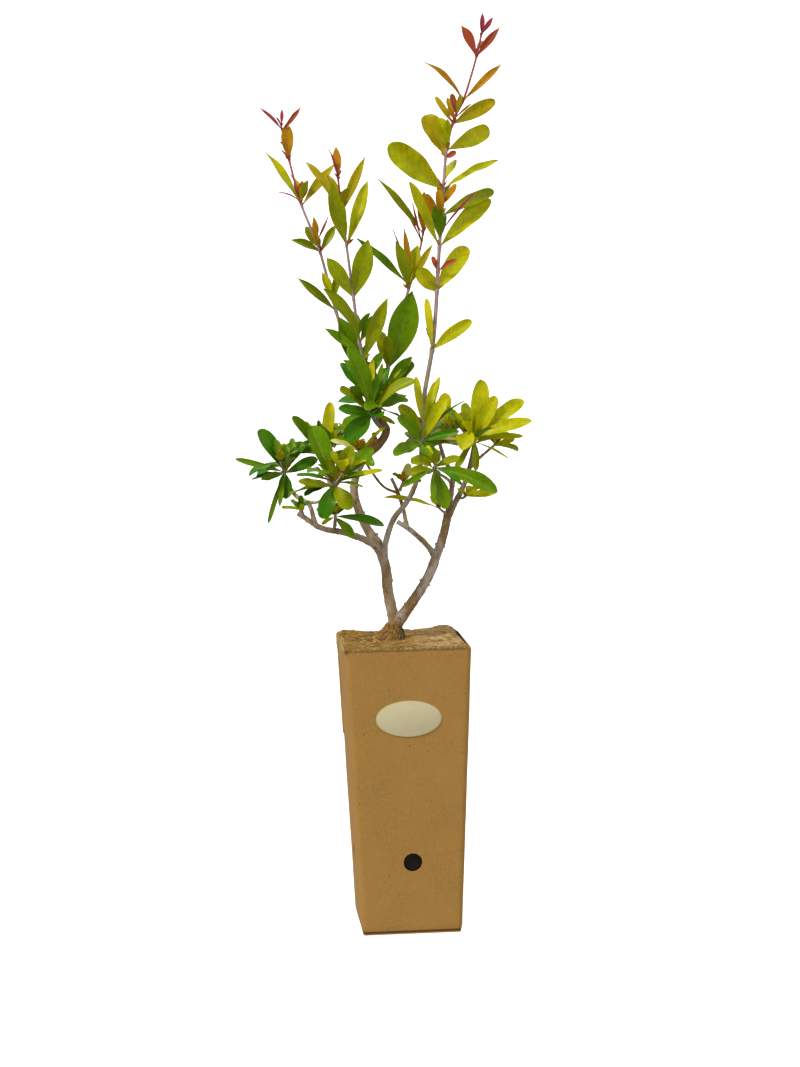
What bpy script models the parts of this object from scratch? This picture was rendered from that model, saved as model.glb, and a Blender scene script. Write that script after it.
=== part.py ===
"""Young pomegranate tree, cut back once and grown on, in a tall tapering carton of recycled board.

Every piece is one closed solid in metres, +Z up. The origin is on the underside of the carton,
and the front of the carton, with its label, faces -Y.
"""

import math
import random
from dataclasses import dataclass

import bmesh
import bpy
from mathutils import Quaternion, Vector
from mathutils.bvhtree import BVHTree

MM = 0.001
GAP = 0.3 * MM
MERGE = 0.0002 * MM
NUDGE = 0.04 * MM

# Carton: a square sleeve of board that tapers to its foot, with one round hole in each side
CARTON_TOP = 0.100
CARTON_FOOT = 0.080
CARTON_HEIGHT = 0.230
BOARD = 0.0024
BASE_THICK = 0.0027
CORNER_ROUND = 0.0042
HOLE_RADIUS = 0.0075
HOLE_HEIGHT = 0.0585
HOLE_SIDE_STEP = 0.0010

# Label: a plain oval on the front
LABEL_WIDE = 0.052
LABEL_TALL = 0.029
LABEL_THICK = 0.0006
LABEL_PLACE = (-0.0008, 0.1749)

# Liner pot, root ball and the mat of coir fibre over the soil
LINER_WALL = 0.0012
LINER_SLACK = 0.0006
LINER_RIM = 0.0009
SOIL_LEVEL = 0.2220
MAT_TOP = 0.2325
LAP_DEPTH = 0.0120
CONE_HEIGHT = 0.0190
CONE_RADIUS = 0.0195
CONE_TIP_RADIUS = 0.0064
CONE_PLACE = (-0.0130, -0.0080)
CONE_LEAN = (0.0070, 0.0075)
CONE_SINK = 0.0020

# The mat's rises and hollows: where each stands across and back, how far it spreads both ways and
# how high it rises, in mm
MAT_SWELLS = ((-28, 10, 16, 24, -4.5), (42, 42, 13, 8, 3.4), (-42, 34, 12, 14, 2.2))
MAT_ROUGH = 0.6
MAT_CELLS = 9

# Wood and growth
LIMB_SIDES = 2
THICK_LIMB = 0.0022
TWIG_SIDES = 0
RING_STEP = 0.0105
TWIG_STEP = 0.022
FLARE = 0.0022
FLARE_REACH = 0.0090
GOLDEN_ANGLE = 137.508
WHORL_LOWEST = -14
WHORL_RISE = 72
WHORL_TAPER = 0.42
SIDE_TWIG = 13

# What is tried where a leaf would touch something: turns about the upright and tilts, in degrees
TURNS_TRIED = ((0, 0), (12, 0), (-12, 0), (0, 12), (0, -12), (24, 6), (-24, 6), (0, 24))
FUSE_ATTEMPTS = 12

# Leaves: where a blade's sections stand along it, its thickness against its length, its stalk
LONG_STATIONS = (0.18, 0.52, 0.82)
MIDDLE_STATIONS = (0.42, 0.80)
SHORT_STATIONS = (0.55,)
LONG_LEAF = 0.040
SHORT_LEAF = 0.019
LEAF_THICK = 0.02
STALK = 0.0006
BLUNT_RATIO = 0.36
POINTED_RATIO = 0.27

# Wood: the points that each limb's middle line passes, in mm, and its radius at foot and tip
LIMBS = {
    "trunk": (((-6, 0, 222.3), (-6, 0, 229), (-7, 0, 246), (-11, 0, 268), (-13, 0, 290), (-19, 1, 309)),
              4.6, 3.9),
    "right_stem": (((-6, 0, 244), (4, -2, 256), (20, 0, 279), (29, 3, 299), (34, 5, 312), (39, 8, 331)),
                   4.4, 3.3),
    "left_bough": (((-16, 0, 302), (-26, -6, 311), (-46, -18, 320), (-65, -25, 325), (-83, -27, 337)),
                   3.0, 1.9),
    "left_riser": (((-70, -25, 328), (-74, -22, 343), (-84, -13, 350), (-92, -7, 362)), 1.9, 1.4),
    "left_twig": (((-76, -20, 345), (-67, -28, 346), (-58, -35, 353)), 1.3, 1.1),
    "left_spur": (((-55, -22, 321), (-54, -25, 331)), 1.3, 1.1),
    "middle_stem": (((-19, 1, 308), (-29, 4, 325), (-36, 6, 346), (-35, 6, 362), (-27, 6, 380)), 3.6, 3.0),
    "crook": (((-27, 6, 380), (-15, 5, 389), (-10, 3, 399), (-15, 1, 408), (-17, 0, 416)), 3.5, 3.0),
    "crook_stub": (((-18, 5, 387), (-20, 3, 397)), 1.9, 1.5),
    "leader_bough": (((-14, 0, 297), (-13, -4, 309), (-7, -9, 328), (4.5, -12, 343.5), (12, -14, 360),
                      (16, -14, 380)),
                     2.5, 1.8),
    "right_back_bough": (((38, 7, 326), (42, 13, 346), (44, 20, 360), (38, 28, 374)), 2.4, 1.6),
    "right_front_bough": (((39, 8, 329), (44, 4, 339), (52, -5, 358), (57, -8, 377)), 2.4, 1.7),
    "right_stub": (((55, -7, 368), (65, -5, 377), (73, -2, 383)), 1.3, 1.0),
    "inner_twig": (((43, 16, 352), (38, -4, 359), (26, -28, 367)), 1.3, 1.1),
    "side_bough": (((28, 3, 296), (21, 6.5, 306), (9, 13, 317.5), (-1, 18, 324)), 2.3, 1.9),
    "side_riser": (((6, 16, 320), (4, 18, 333), (0, 19, 347), (-5, 20, 359)), 1.7, 1.3),
    "side_twig": (((0, 19, 347), (-14, 8, 355), (-31, -14, 379)), 1.1, 0.9),
    "back_bough": (((-36, 6, 346), (-45, 22, 341), (-53, 38, 352), (-56, 46, 364)), 1.9, 1.4),
}

# Long shoots, in mm: the stem's points, its radius at foot and tip, then one row for each pair of
# leaves: the height where it stands, then how far its left and its right leaf reach across and up
# and how wide each is. The leaves round the foot are given by their reach and width.
SHOOTS = {
    "leader_shoot": {
        "stem": ((16, -14, 378), (19, -13, 424), (28, -9, 473), (34, -4, 541), (41, 0, 615),
                 (48, 0, 643), (56, 0, 659), (66, 0, 690), (71, 0, 711)),
        "radius": (1.7, 0.6),
        "pairs": ((404, -5, 38, 6, 12, 33, 7), (462, -3, 41, 6, 31, 23, 10), (508, -16, 18, 13, 26, 35, 15),
                  (524, -4, 12, 4, 14, 9, 4), (543, -24, 51, 9, 43, 38, 14), (554, -11, 31, 10, 27, 31, 2),
                  (567, -2, 21, 7, 45, 20, 10), (576, -3, 21, 4, 11, 16, 6), (588, -44, 35, 20, 46, 23, 7),
                  (613, -15, 34, 16, 8, 4, 5), (619, -7, 25, 11, 36, 17, 14), (639, -13, 22, 5, 32, 17, 11),
                  (643, -5, 9, 5, 14, 12, 2), (646, -3, 17, 5, 4, 16, 4), (657, -31, 30, 6, 32, 29, 6),
                  (691, -11, 25, 8, 18, 22, 6), (708, 1, 17, 4, 10, 14, 4)),
        "foot_leaves": ((-18, -6, 30, 12), (-23, -10, 21, 12), (-24, -14, -7, 11), (5, -15, -15, 10),
                        (8, 7, 54, 6), (20, -6, 34, 11), (33, -12, 33, 4), (28, -16, 8, 7),
                        (12, -8, -18, 8), (-6, 14, 21, 6), (-9, 20, 9, 9), (17, 20, 12, 9)),
        "front": 0.8, "seed": 3,
    },
    "left_shoot": {
        "stem": ((-16, 1, 410), (-19, 3, 421), (-38, 13, 464), (-47, 18, 493), (-59, 26, 543),
                 (-72, 30, 578), (-81, 34, 614), (-87, 36, 643)),
        "radius": (1.35, 0.6),
        "pairs": ((442, -18, 48, 16, 4, 26, 7), (464, -5, 21, 10, 7, 19, 7), (494, -31, 27, 7, -5, 17, 6),
                  (503, -8, 22, 7, 3, 21, 6), (541, -24, 10, 7, 13, 21, 7), (544, -10, 18, 10, -5, 20, 4),
                  (549, -2, 20, 5, 10, 20, 2), (578, -28, 44, 7, 27, 33, 8), (581, -18, 8, 2, 6, 15, 5),
                  (583, 2, 15, 6, -5, 13, 3), (614, -7, 9, 2, -1, 30, 10), (638, -17, 18, 4, 15, 18, 4),
                  (642, -4, 7, 2, 1, 13, 3)),
        "foot_leaves": (),
        "front": 0.75, "seed": 8,
    },
    "middle_shoot": {
        "stem": ((-17, -1, 408), (-19, -3, 421), (-30, -7, 465), (-35, -11, 504), (-43, -17, 571),
                 (-47, -20, 609)),
        "radius": (1.35, 0.6),
        "pairs": ((440, -20, 16, 8, 12, 22, 8), (455, -28, 26, 8, 19, 49, 12), (469, -29, 43, 13, 10, 21, 7),
                  (504, -20, 32, 12, 12, 46, 16), (545, -12, 50, 13, 18, 51, 10), (571, -28, 41, 7, 18, 42, 8),
                  (597, -7, 23, 2, -1, 25, 7)),
        "foot_leaves": ((-19, 12, 40, 11), (-6, 7, 36, 9)),
        "front": 0.7, "seed": 14,
    },
    "centre_shoot": {
        "stem": ((-17, 1, 408), (-14, 2, 422), (-8, 3, 447), (4, -2, 493), (9, -4, 510), (18, 3, 536),
                 (23, 8, 556)),
        "radius": (1.4, 0.6),
        "pairs": ((431, -16, 14, 8, 24, 26, 10), (447, -9, 25, 8, 20, 62, 23), (510, -10, 38, 10, 9, 35, 12),
                  (513, -40, 38, 8, 18, 32, 6), (516, -14, 42, 2, -4, 42, 5), (548, -13, 28, 2, -7, 30, 2),
                  (554, -36, 43, 7, 2, 33, 10)),
        "foot_leaves": ((27, 8, 28, 11),),
        "front": 0.7, "seed": 21,
    },
}

# Leaf rosettes: the stem's points and radii, the leaves that stand out most (how far each
# reaches from its foot, and its width), then how many more follow the rule and the longest of
# them, in mm
ROSETTES = {
    "crown_rosette": {
        "stem": ((-15, -1, 402), (-20, -7, 408), (-24, -14, 416)), "radius": (1.6, 1.2),
        "leading": ((-17, -10, 51, 14), (34, -14, 25, 14), (-22, -14, -19, 15), (15, 2, 33, 11),
                    (2, 6, 43, 6), (-24, -4, 19, 11), (30, -4, 9, 9), (-27, -12, 5, 9), (9, -8, 39, 4),
                    (24, 0, 35, 3), (18, -10, -9, 4), (11, 12, 34, 6)),
        "count": 12, "longest": 38, "twigs": 2, "seed": 32,
    },
    "near_left_rosette": {
        "stem": ((-62, -32, 350), (-56, -37, 356), (-55, -38, 363)), "radius": (1.1, 1.0),
        "leading": ((-16, 8, 46, 17), (14, -4, 30, 12), (32, 4, 25, 11), (38, -6, 10, 6), (-28, -12, 5, 7),
                    (22, -12, -3, 4), (12, -14, -18, 13), (-10, -8, -26, 13), (-23, -2, -8, 8),
                    (-29, 6, 6, 5)),
        "count": 12, "longest": 36, "twigs": 2, "seed": 42,
    },
    "far_left_rosette": {
        "stem": ((-90, -9, 359), (-92, -6, 365), (-92, -5, 371)), "radius": (1.35, 1.1),
        "leading": ((-20, -4, 33, 13), (-39, -8, 12, 5), (-19, -10, -5, 6), (0, -12, -21, 11),
                    (-14, -6, -40, 4), (0, 10, 23, 6), (18, 10, 22, 6), (26, 4, 11, 9), (-4, -14, -27, 4),
                    (-6, 8, 17, 6)),
        "count": 9, "longest": 34, "twigs": 2, "seed": 51,
    },
    "left_spur_rosette": {
        "stem": ((-54, -24, 326), (-54, -26, 336)), "radius": (1.1, 1.0),
        "leading": ((38, -6, -8, 9), (13, -10, -16, 8), (-11, -8, -5, 4), (-14, 6, 5, 7), (9, 6, 12, 7)),
        "count": 3, "longest": 26, "twigs": 0, "seed": 65,
    },
    "left_end_tuft": {
        "stem": ((-80, -27, 335), (-81, -28, 341)), "radius": (1.8, 1.2),
        "leading": ((-5, -6, -12, 8), (-15, 6, 2, 4), (10, -10, 4, 6)),
        "count": 4, "longest": 22, "twigs": 0, "seed": 76,
    },
    "back_left_rosette": {
        "stem": ((-56, 43, 360), (-58, 50, 372), (-58, 52, 380)), "radius": (1.35, 1.1),
        "leading": ((-25, -10, 32, 9), (7, 0, 43, 10), (-3, -4, 27, 5), (12, 16, 26, 10), (-30, 4, 4, 10)),
        "count": 15, "longest": 40, "twigs": 2, "seed": 83,
    },
    "inner_right_rosette": {
        "stem": ((29, -23, 366), (24, -32, 370), (25, -34, 373)), "radius": (1.1, 1.0),
        "leading": ((48, -6, -20, 13), (-19, 3, -3, 9), (-26, -7, -13, 5), (8, -9, -31, 12),
                    (22, -10, -13, 6), (-2, -12, -25, 5), (17, 4, 4, 7)),
        "count": 5, "longest": 28, "twigs": 0, "seed": 92,
    },
    "right_front_rosette": {
        "stem": ((56, -8, 372), (58, -9, 383), (59, -9, 392)), "radius": (1.65, 1.2),
        "leading": ((8, 8, 50, 14), (18, -2, 36, 12), (40, -6, 30, 12), (45, -12, 16, 11),
                    (-11, -16, 15, 10), (-32, -12, 3, 10), (-7, 6, 29, 9), (36, -14, 2, 5),
                    (-22, 10, 27, 7), (-16, -12, -23, 6), (27, -4, -14, 3), (0, -8, -24, 6)),
        "count": 11, "longest": 40, "twigs": 2, "seed": 104,
    },
    "right_back_rosette": {
        "stem": ((39, 26, 371), (36, 32, 384), (35, 34, 392)), "radius": (1.55, 1.2),
        "leading": ((8, 14, 34, 12), (-24, 12, 14, 10), (30, 14, 18, 12), (-22, -6, -2, 8), (22, 4, -4, 8)),
        "count": 12, "longest": 38, "twigs": 2, "seed": 113,
    },
    "right_stub_tuft": {
        "stem": ((69, -3, 380), (77, 0, 386)), "radius": (0.95, 0.8),
        "leading": ((20, 6, -5, 5), (16, -10, 6, 5), (10, 14, 12, 5)),
        "count": 2, "longest": 20, "twigs": 0, "seed": 121,
    },
    "side_tuft": {
        "stem": ((-30, -12, 377), (-34, -17, 385)), "radius": (0.85, 0.8),
        "leading": ((-23, -4, 10, 6), (-16, -8, 25, 6), (-17, 4, 12, 8), (-5, 10, 19, 6), (9, -14, -9, 7),
                    (21, 4, 21, 3)),
        "count": 3, "longest": 22, "twigs": 0, "seed": 134,
    },
    "long_spur_leaf": {
        "stem": ((38, 7, 330), (33, 2, 334), (30, -1, 337)), "radius": (0.9, 0.8),
        "leading": ((-45, -8, 11, 5), (-4, -12, 10, 4)),
        "count": 0, "longest": 16, "twigs": 0, "seed": 157,
    },
    "right_low_tuft": {
        "stem": ((46, 2, 343), (50, -4, 344), (52, -6, 346)), "radius": (0.9, 0.8),
        "leading": ((26, -3, 4, 7), (14, -9, 12, 5), (-5, -12, 6, 4)),
        "count": 0, "longest": 16, "twigs": 0, "seed": 166,
    },
    "side_riser_tuft": {
        "stem": ((1, 18, 349), (3, 17, 354), (4, 17, 357)), "radius": (1.25, 0.9),
        "leading": ((6, 0, 18, 7), (15, -4, 2, 4)),
        "count": 0, "longest": 20, "twigs": 0, "seed": 145,
    },
}

COLOURS = {
    "board": ((0.36, 0.19, 0.045), 0.85, 0.0),
    "label": ((0.58, 0.50, 0.28), 0.55, 0.0),
    "liner": ((0.012, 0.012, 0.011), 0.45, 0.0),
    "soil": ((0.035, 0.018, 0.009), 0.95, 0.0),
    "coir": ((0.43, 0.25, 0.095), 0.95, 0.0),
    "bark": ((0.24, 0.175, 0.125), 0.85, 0.0),
    "leaf": ((0.12, 0.24, 0.015), 0.55, 0.0),
}


@dataclass
class Leaf:
    """One leaf: its foot, the straight reach to its tip, and how it is turned and bent."""

    root: Vector
    reach: Vector
    width: float
    blunt: bool
    front: float
    droop: float
    sweep: float


def clear_scene():
    """Remove every object that the file starts with."""
    for old in list(bpy.data.objects):
        bpy.data.objects.remove(old, do_unlink=True)


def collection(name):
    """A new collection in the scene."""
    group = bpy.data.collections.new(name)
    bpy.context.scene.collection.children.link(group)
    return group


def material(name, kind):
    """A Principled material of one kind, named for the piece that wears it."""
    colour, roughness, metallic = COLOURS[kind]
    made = bpy.data.materials.new(name)
    made.use_nodes = True
    shader = made.node_tree.nodes["Principled BSDF"]
    shader.inputs["Base Color"].default_value = (*colour, 1.0)
    shader.inputs["Roughness"].default_value = roughness
    shader.inputs["Metallic"].default_value = metallic
    made.diffuse_color = (*colour, 1.0)
    return made


def mesh_object(name, bm, group):
    """Turn a bmesh into an object of a collection."""
    mesh = bpy.data.meshes.new(name)
    bm.to_mesh(mesh)
    bm.free()
    made = bpy.data.objects.new(name, mesh)
    group.objects.link(made)
    return made


def dress(piece, kind):
    """Give a piece its own material and smooth its round sides."""
    piece.data.materials.clear()
    piece.data.materials.append(material(piece.name, kind))
    piece.data.shade_smooth()
    piece.data.set_sharp_from_angle(angle=math.radians(40))


def add_boolean(piece, other, operation, solver="EXACT"):
    """A Boolean with one object, or with all objects of a collection."""
    cut = piece.modifiers.new(operation.lower(), "BOOLEAN")
    cut.operation = operation
    cut.solver = solver
    if isinstance(other, bpy.types.Collection):
        cut.operand_type = "COLLECTION"
        cut.collection = other
    else:
        cut.object = other


def apply_modifiers(piece):
    """Replace a piece's mesh with its evaluated one, without scraps; says whether it is closed."""
    graph = bpy.context.evaluated_depsgraph_get()
    graph.update()
    mesh = bpy.data.meshes.new_from_object(piece.evaluated_get(graph))
    piece.modifiers.clear()
    bm = bmesh.new()
    bm.from_mesh(mesh)
    bmesh.ops.remove_doubles(bm, verts=bm.verts, dist=MERGE)
    bmesh.ops.triangulate(bm, faces=bm.faces)
    drop_scraps(bm)
    bmesh.ops.recalc_face_normals(bm, faces=bm.faces)
    closed = all(edge.is_manifold for edge in bm.edges)
    bm.to_mesh(mesh)
    bm.free()
    piece.data = mesh
    return closed


def drop_scraps(bm):
    """Delete every loose part but the one with the most corners."""
    left = set(bm.verts)
    bodies = []
    while left:
        body = set()
        frontier = [left.pop()]
        while frontier:
            vert = frontier.pop()
            body.add(vert)
            near = [edge.other_vert(vert) for edge in vert.link_edges]
            fresh = [other for other in near if other in left]
            left.difference_update(fresh)
            frontier.extend(fresh)
        bodies.append(body)
    keep = max(bodies, key=len)
    scraps = [vert for vert in bm.verts if vert not in keep]
    bmesh.ops.delete(bm, geom=scraps, context="VERTS")


def smooth_path(points, step):
    """Points on a smooth curve through a few given ones (in mm), about a step apart (in metres)."""
    given = [Vector(point) * MM for point in points]
    ends = [2 * given[0] - given[1], *given, 2 * given[-1] - given[-2]]
    path = []
    for before, start, end, after in zip(ends, ends[1:], ends[2:], ends[3:]):
        count = max(1, round((end - start).length / step))
        for index in range(count):
            t = index / count
            path.append(0.5 * (2 * start + (end - before) * t
                               + (2 * before - 5 * start + 4 * end - after) * t ** 2
                               + (3 * start - before - 3 * end + after) * t ** 3))
    path.append(given[-1])
    return path


def travelled(path):
    """How far along a path each of its points lies, from 0 to 1."""
    lengths = [0.0]
    for start, end in zip(path, path[1:]):
        lengths.append(lengths[-1] + (end - start).length)
    return [length / lengths[-1] for length in lengths]


def tube(name, path, radii, sides, group, swell=0.0):
    """A tapering tube along a path, closed at both ends; swell fattens and lengthens it."""
    points = list(path)
    if swell:
        points[0] = points[0] - (points[1] - points[0]).normalized() * swell
        points[-1] = points[-1] + (points[-1] - points[-2]).normalized() * swell
    curve = bpy.data.curves.new(name, "CURVE")
    curve.dimensions = "3D"
    curve.bevel_depth = 1.0
    curve.bevel_resolution = sides
    curve.use_fill_caps = True
    spline = curve.splines.new("POLY")
    spline.points.add(len(points) - 1)
    for knot, place, radius in zip(spline.points, points, radii):
        knot.co = (*place, 1.0)
        knot.radius = radius + swell
    guide = bpy.data.objects.new(name + "_guide", curve)
    group.objects.link(guide)
    graph = bpy.context.evaluated_depsgraph_get()
    graph.update()
    mesh = bpy.data.meshes.new_from_object(guide.evaluated_get(graph))
    bm = bmesh.new()
    bm.from_mesh(mesh)
    bm.transform(guide.matrix_world)
    bmesh.ops.remove_doubles(bm, verts=bm.verts, dist=0.01 * MM)
    bmesh.ops.recalc_face_normals(bm, faces=bm.faces)
    bpy.data.objects.remove(guide, do_unlink=True)
    bpy.data.meshes.remove(mesh)
    return mesh_object(name, bm, group)


def limb_line(name):
    """A limb's middle line and its radius at each point; the trunk flares at its foot."""
    points, foot, tip = LIMBS[name]
    path = smooth_path(points, RING_STEP)
    radii = [(foot + (tip - foot) * share) * MM for share in travelled(path)]
    if name == "trunk":
        radii = [radius + FLARE * math.exp((path[0].z - place.z) / FLARE_REACH)
                 for radius, place in zip(radii, path)]
        path[0].z = SOIL_LEVEL + GAP
    return path, radii


def tree_of(piece):
    """A search tree over a piece's faces."""
    graph = bpy.context.evaluated_depsgraph_get()
    graph.update()
    return BVHTree.FromObject(piece, graph)


def stands_clear(piece, swollen):
    """Cut a limb back from each swollen earlier limb that it touches."""
    for earlier in swollen.values():
        if tree_of(piece).overlap(tree_of(earlier)):
            add_boolean(piece, earlier, "DIFFERENCE")
            apply_modifiers(piece)


def make_limbs(plant, cutters):
    """Every limb as one tapering tube, cut 0.3 mm clear of the limbs made before it."""
    swollen = {}
    for name in LIMBS:
        path, radii = limb_line(name)
        sides = LIMB_SIDES if radii[0] > THICK_LIMB else LIMB_SIDES - 1
        limb = tube(name, path, radii, sides, plant)
        swollen_limb = tube(name + "_clearance", path, radii, sides, cutters, 1.2 * GAP)
        if name == "trunk":
            level_foot(limb, SOIL_LEVEL + GAP)
            level_foot(swollen_limb, SOIL_LEVEL)
        stands_clear(limb, swollen)
        dress(limb, "bark")
        swollen[name] = swollen_limb
        swollen[name].hide_render = True
        swollen[name].display_type = "WIRE"
    return swollen


def level_foot(trunk, level):
    """Bring the ring at the trunk's foot to one flat cut."""
    low = min(vert.co.z for vert in trunk.data.vertices)
    for vert in trunk.data.vertices:
        if vert.co.z < low + 2 * MM:
            vert.co.z = level


def bent_frame(leaf):
    """The leaf's length along its bend, its direction at the foot, its upper side and its turn."""
    chord = leaf.reach.normalized()
    gaze = Vector((0, -leaf.front, 1 - abs(leaf.front)))
    upper = (gaze - chord * gaze.dot(chord)).normalized()
    side = chord.cross(upper)
    bend = math.hypot(leaf.droop, leaf.sweep)
    toward = (side * leaf.sweep - upper * leaf.droop) / bend
    axis = chord.cross(toward)
    start = Quaternion(axis, -bend / 2)
    length = leaf.reach.length * (bend / 2) / math.sin(bend / 2)
    return length, start @ chord, start @ upper, axis, bend


def blade_width(share, blunt):
    """How wide a leaf is along it, out of 1: blunt leaves widen towards a round tip."""
    if blunt:
        return math.sin(math.pi * share ** 1.6) ** 0.7
    return math.sin(math.pi * share ** 1.25) ** 0.95


def blade(leaf, grow=0.0):
    """Corners and faces of one closed leaf: a three-cornered section with its keel underneath."""
    length, along, upper, axis, bend = bent_frame(leaf)
    corners = []
    stations = MIDDLE_STATIONS if length > SHORT_LEAF else SHORT_STATIONS
    if length > LONG_LEAF:
        stations = LONG_STATIONS
    for share in (0.0, *stations):
        turn = Quaternion(axis, bend * share)
        travel = math.sin(bend * share / 2) / (bend / 2) * length
        place = leaf.root + Quaternion(axis, bend * share / 2) @ along * travel
        out = turn @ upper
        side = (turn @ along).cross(out)
        half = max(0.5 * leaf.width * blade_width(share, leaf.blunt), STALK) + grow
        keel = max(LEAF_THICK * length, STALK) + grow
        corners += [place - side * half + out * grow, place + side * half + out * grow,
                    place - out * keel]
    corners.append(leaf.root + leaf.reach * (1 + grow / leaf.reach.length))
    faces = [(0, 2, 1)]
    for ring in range(0, len(corners) - 4, 3):
        for index in range(3):
            after = (index + 1) % 3
            faces.append((ring + index, ring + after, ring + 3 + after, ring + 3 + index))
    last = len(corners) - 4
    faces += [(last + index, last + (index + 1) % 3, last + 3) for index in range(3)]
    return corners, faces


def outer_part(corners, faces):
    """The faces of a leaf beyond its foot, where two leaves of one mass may not cross."""
    return [face for face in faces if min(face) > 2]


class Crown:
    """The leaves placed so far, with the wood that they have to stay clear of."""

    def __init__(self, wood):
        self.wood = wood
        self.placed = []

    def fits(self, mass, leaf):
        """Whether a leaf misses all wood but its own, and every leaf placed before it."""
        corners, faces = blade(leaf)
        whole = BVHTree.FromPolygons(corners, faces)
        for owner, tree in self.wood:
            if owner != mass and whole.overlap(tree):
                return False
        middle = leaf.root + leaf.reach / 2
        outer = BVHTree.FromPolygons(corners, outer_part(corners, faces))
        for owner, centre, size, tree, outer_tree in self.placed:
            if (centre - middle).length > size + leaf.reach.length / 2 + 2 * MM:
                continue
            if owner == mass and outer.overlap(outer_tree):
                return False
            if owner != mass and whole.overlap(tree):
                return False
        return True

    def place(self, mass, leaf):
        """Keep a leaf where it fits, after small turns if need be; otherwise it is skipped."""
        aim = leaf.reach.copy()
        across = Vector((0, 0, 1)).cross(aim).normalized()
        for turn, tilt in TURNS_TRIED:
            lifted = Quaternion(across, -math.radians(tilt)) @ aim
            leaf.reach = Quaternion((0, 0, 1), math.radians(turn)) @ lifted
            if self.fits(mass, leaf):
                corners, faces = blade(leaf, 1.4 * GAP)
                tree = BVHTree.FromPolygons(corners, faces)
                outer_tree = BVHTree.FromPolygons(corners, outer_part(corners, faces))
                middle = leaf.root + leaf.reach / 2
                self.placed.append((mass, middle, leaf.reach.length / 2, tree, outer_tree))
                return [leaf]
        return []


def random_leaf(root, reach, front, blunt, rng):
    """A leaf of the given reach with a seeded width, droop and sideways sweep."""
    ratio = BLUNT_RATIO if blunt else POINTED_RATIO
    width = reach.length * ratio * rng.uniform(0.85, 1.2)
    droop = math.radians(rng.uniform(14, 42))
    sweep = math.radians(rng.uniform(-12, 12))
    return Leaf(root, reach, width, blunt, front, droop, sweep)


def at_height(path, height):
    """The point of a rising path at a height."""
    for start, end in zip(path, path[1:]):
        if end.z >= height:
            return start.lerp(end, (height - start.z) / (end.z - start.z))
    return path[-1].copy()


def named_leaves(name, path, crown, rng):
    """The leaves that a mass names: a shoot's pairs and the leaves round its foot, or a rosette's."""
    leaves = []
    if name in ROSETTES:
        for *reach, width in ROSETTES[name]["leading"]:
            root = near_tip(path, rng.uniform(0.5, 4.5) * MM)
            leaf = random_leaf(root, Vector(reach) * MM, rng.uniform(0.35, 0.85), True, rng)
            leaf.width = width * MM
            leaves += crown.place(name, leaf)
        return leaves
    shoot = SHOOTS[name]
    for index, (height, *pair) in enumerate(shoot["pairs"]):
        root = at_height(path, height * MM)
        depth = rng.uniform(0.25, 0.6) * (1 if index % 2 else -1)
        for side, (across, up, width) in ((1, pair[:3]), (-1, pair[3:])):
            away = side * depth * max(abs(across), 0.3 * math.hypot(across, up))
            front = shoot["front"] + rng.uniform(-0.3, 0.2)
            leaf = random_leaf(root, Vector((across, away, up)) * MM, front, False, rng)
            leaf.width = width * MM
            leaves += crown.place(name, leaf)
    for *reach, width in shoot["foot_leaves"]:
        root = at_height(path, path[0].z + rng.uniform(10, 16) * MM)
        leaf = random_leaf(root, Vector(reach) * MM, rng.uniform(0.3, 0.8), True, rng)
        leaf.width = width * MM
        leaves += crown.place(name, leaf)
    return leaves


def shoot_filling(name, path, crown, rng):
    """Smaller leaves at a shoot's nodes, a quarter turn from the pair there, mostly to the back."""
    leaves = []
    for height, left, left_up, left_wide, right, right_up, right_wide in SHOOTS[name]["pairs"]:
        length = max(math.hypot(left, left_up), math.hypot(right, right_up))
        for start in (90, 270):
            heading = math.radians(start + rng.uniform(-40, 40))
            reach = Vector((math.cos(heading), math.sin(heading), rng.uniform(0.6, 1.6)))
            reach *= rng.uniform(0.42, 0.66) * length * MM / reach.length
            lifted = at_height(path, (height + rng.uniform(2, 5)) * MM)
            leaf = random_leaf(lifted, reach, rng.uniform(-0.5, 0.3), False, rng)
            if max(left_wide, right_wide) > 6 and rng.random() < (0.9 if start == 90 else 0.35):
                leaves += crown.place(name, leaf)
    return leaves


def near_tip(path, back):
    """The point a little way back from the end of a path."""
    return path[-1] + (path[-2] - path[-1]).normalized() * back


def whorl(name, path, count, longest, rng, crown):
    """Leaves spiralling up the end of a twig by the golden angle, the lowest longest and flattest."""
    leaves = []
    turn = rng.uniform(0, 360)
    for index in range(count):
        share = index / max(count - 1, 1)
        heading = math.radians(turn + index * GOLDEN_ANGLE)
        climb = math.radians(WHORL_LOWEST + WHORL_RISE * share + rng.uniform(-10, 10))
        length = longest * (1 - WHORL_TAPER * share) * rng.uniform(0.82, 1.08) * MM
        reach = Vector((math.cos(heading) * math.cos(climb), math.sin(heading) * math.cos(climb),
                        math.sin(climb))) * length
        root = near_tip(path, 5 * MM * (1 - share))
        leaves += crown.place(name, random_leaf(root, reach, rng.uniform(-0.1, 0.6), True, rng))
    return leaves


def rosette_filling(name, path, crown, rng):
    """The side twigs of a rosette and its whorls of leaves, by the seeded rule."""
    rosette = ROSETTES[name]
    leaves = []
    twigs = []
    start = rng.uniform(0, 360)
    share = rosette["count"] // 3
    for index in range(rosette["twigs"]):
        heading = math.radians(start + 180 * index + rng.uniform(-25, 25))
        aim = Vector((math.cos(heading), math.sin(heading), 0.75)).normalized()
        foot = near_tip(path, 3 * MM)
        lift = Vector((0, 0, SIDE_TWIG / 6))
        twig = [foot, foot + aim * SIDE_TWIG * MM / 2, foot + (aim * SIDE_TWIG + lift) * MM]
        twigs.append(twig)
        leaves += whorl(name, twig, share, 0.85 * rosette["longest"], rng, crown)
    rest = rosette["count"] - rosette["twigs"] * share
    leaves += whorl(name, path, rest, rosette["longest"], rng, crown)
    return leaves, twigs


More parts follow.
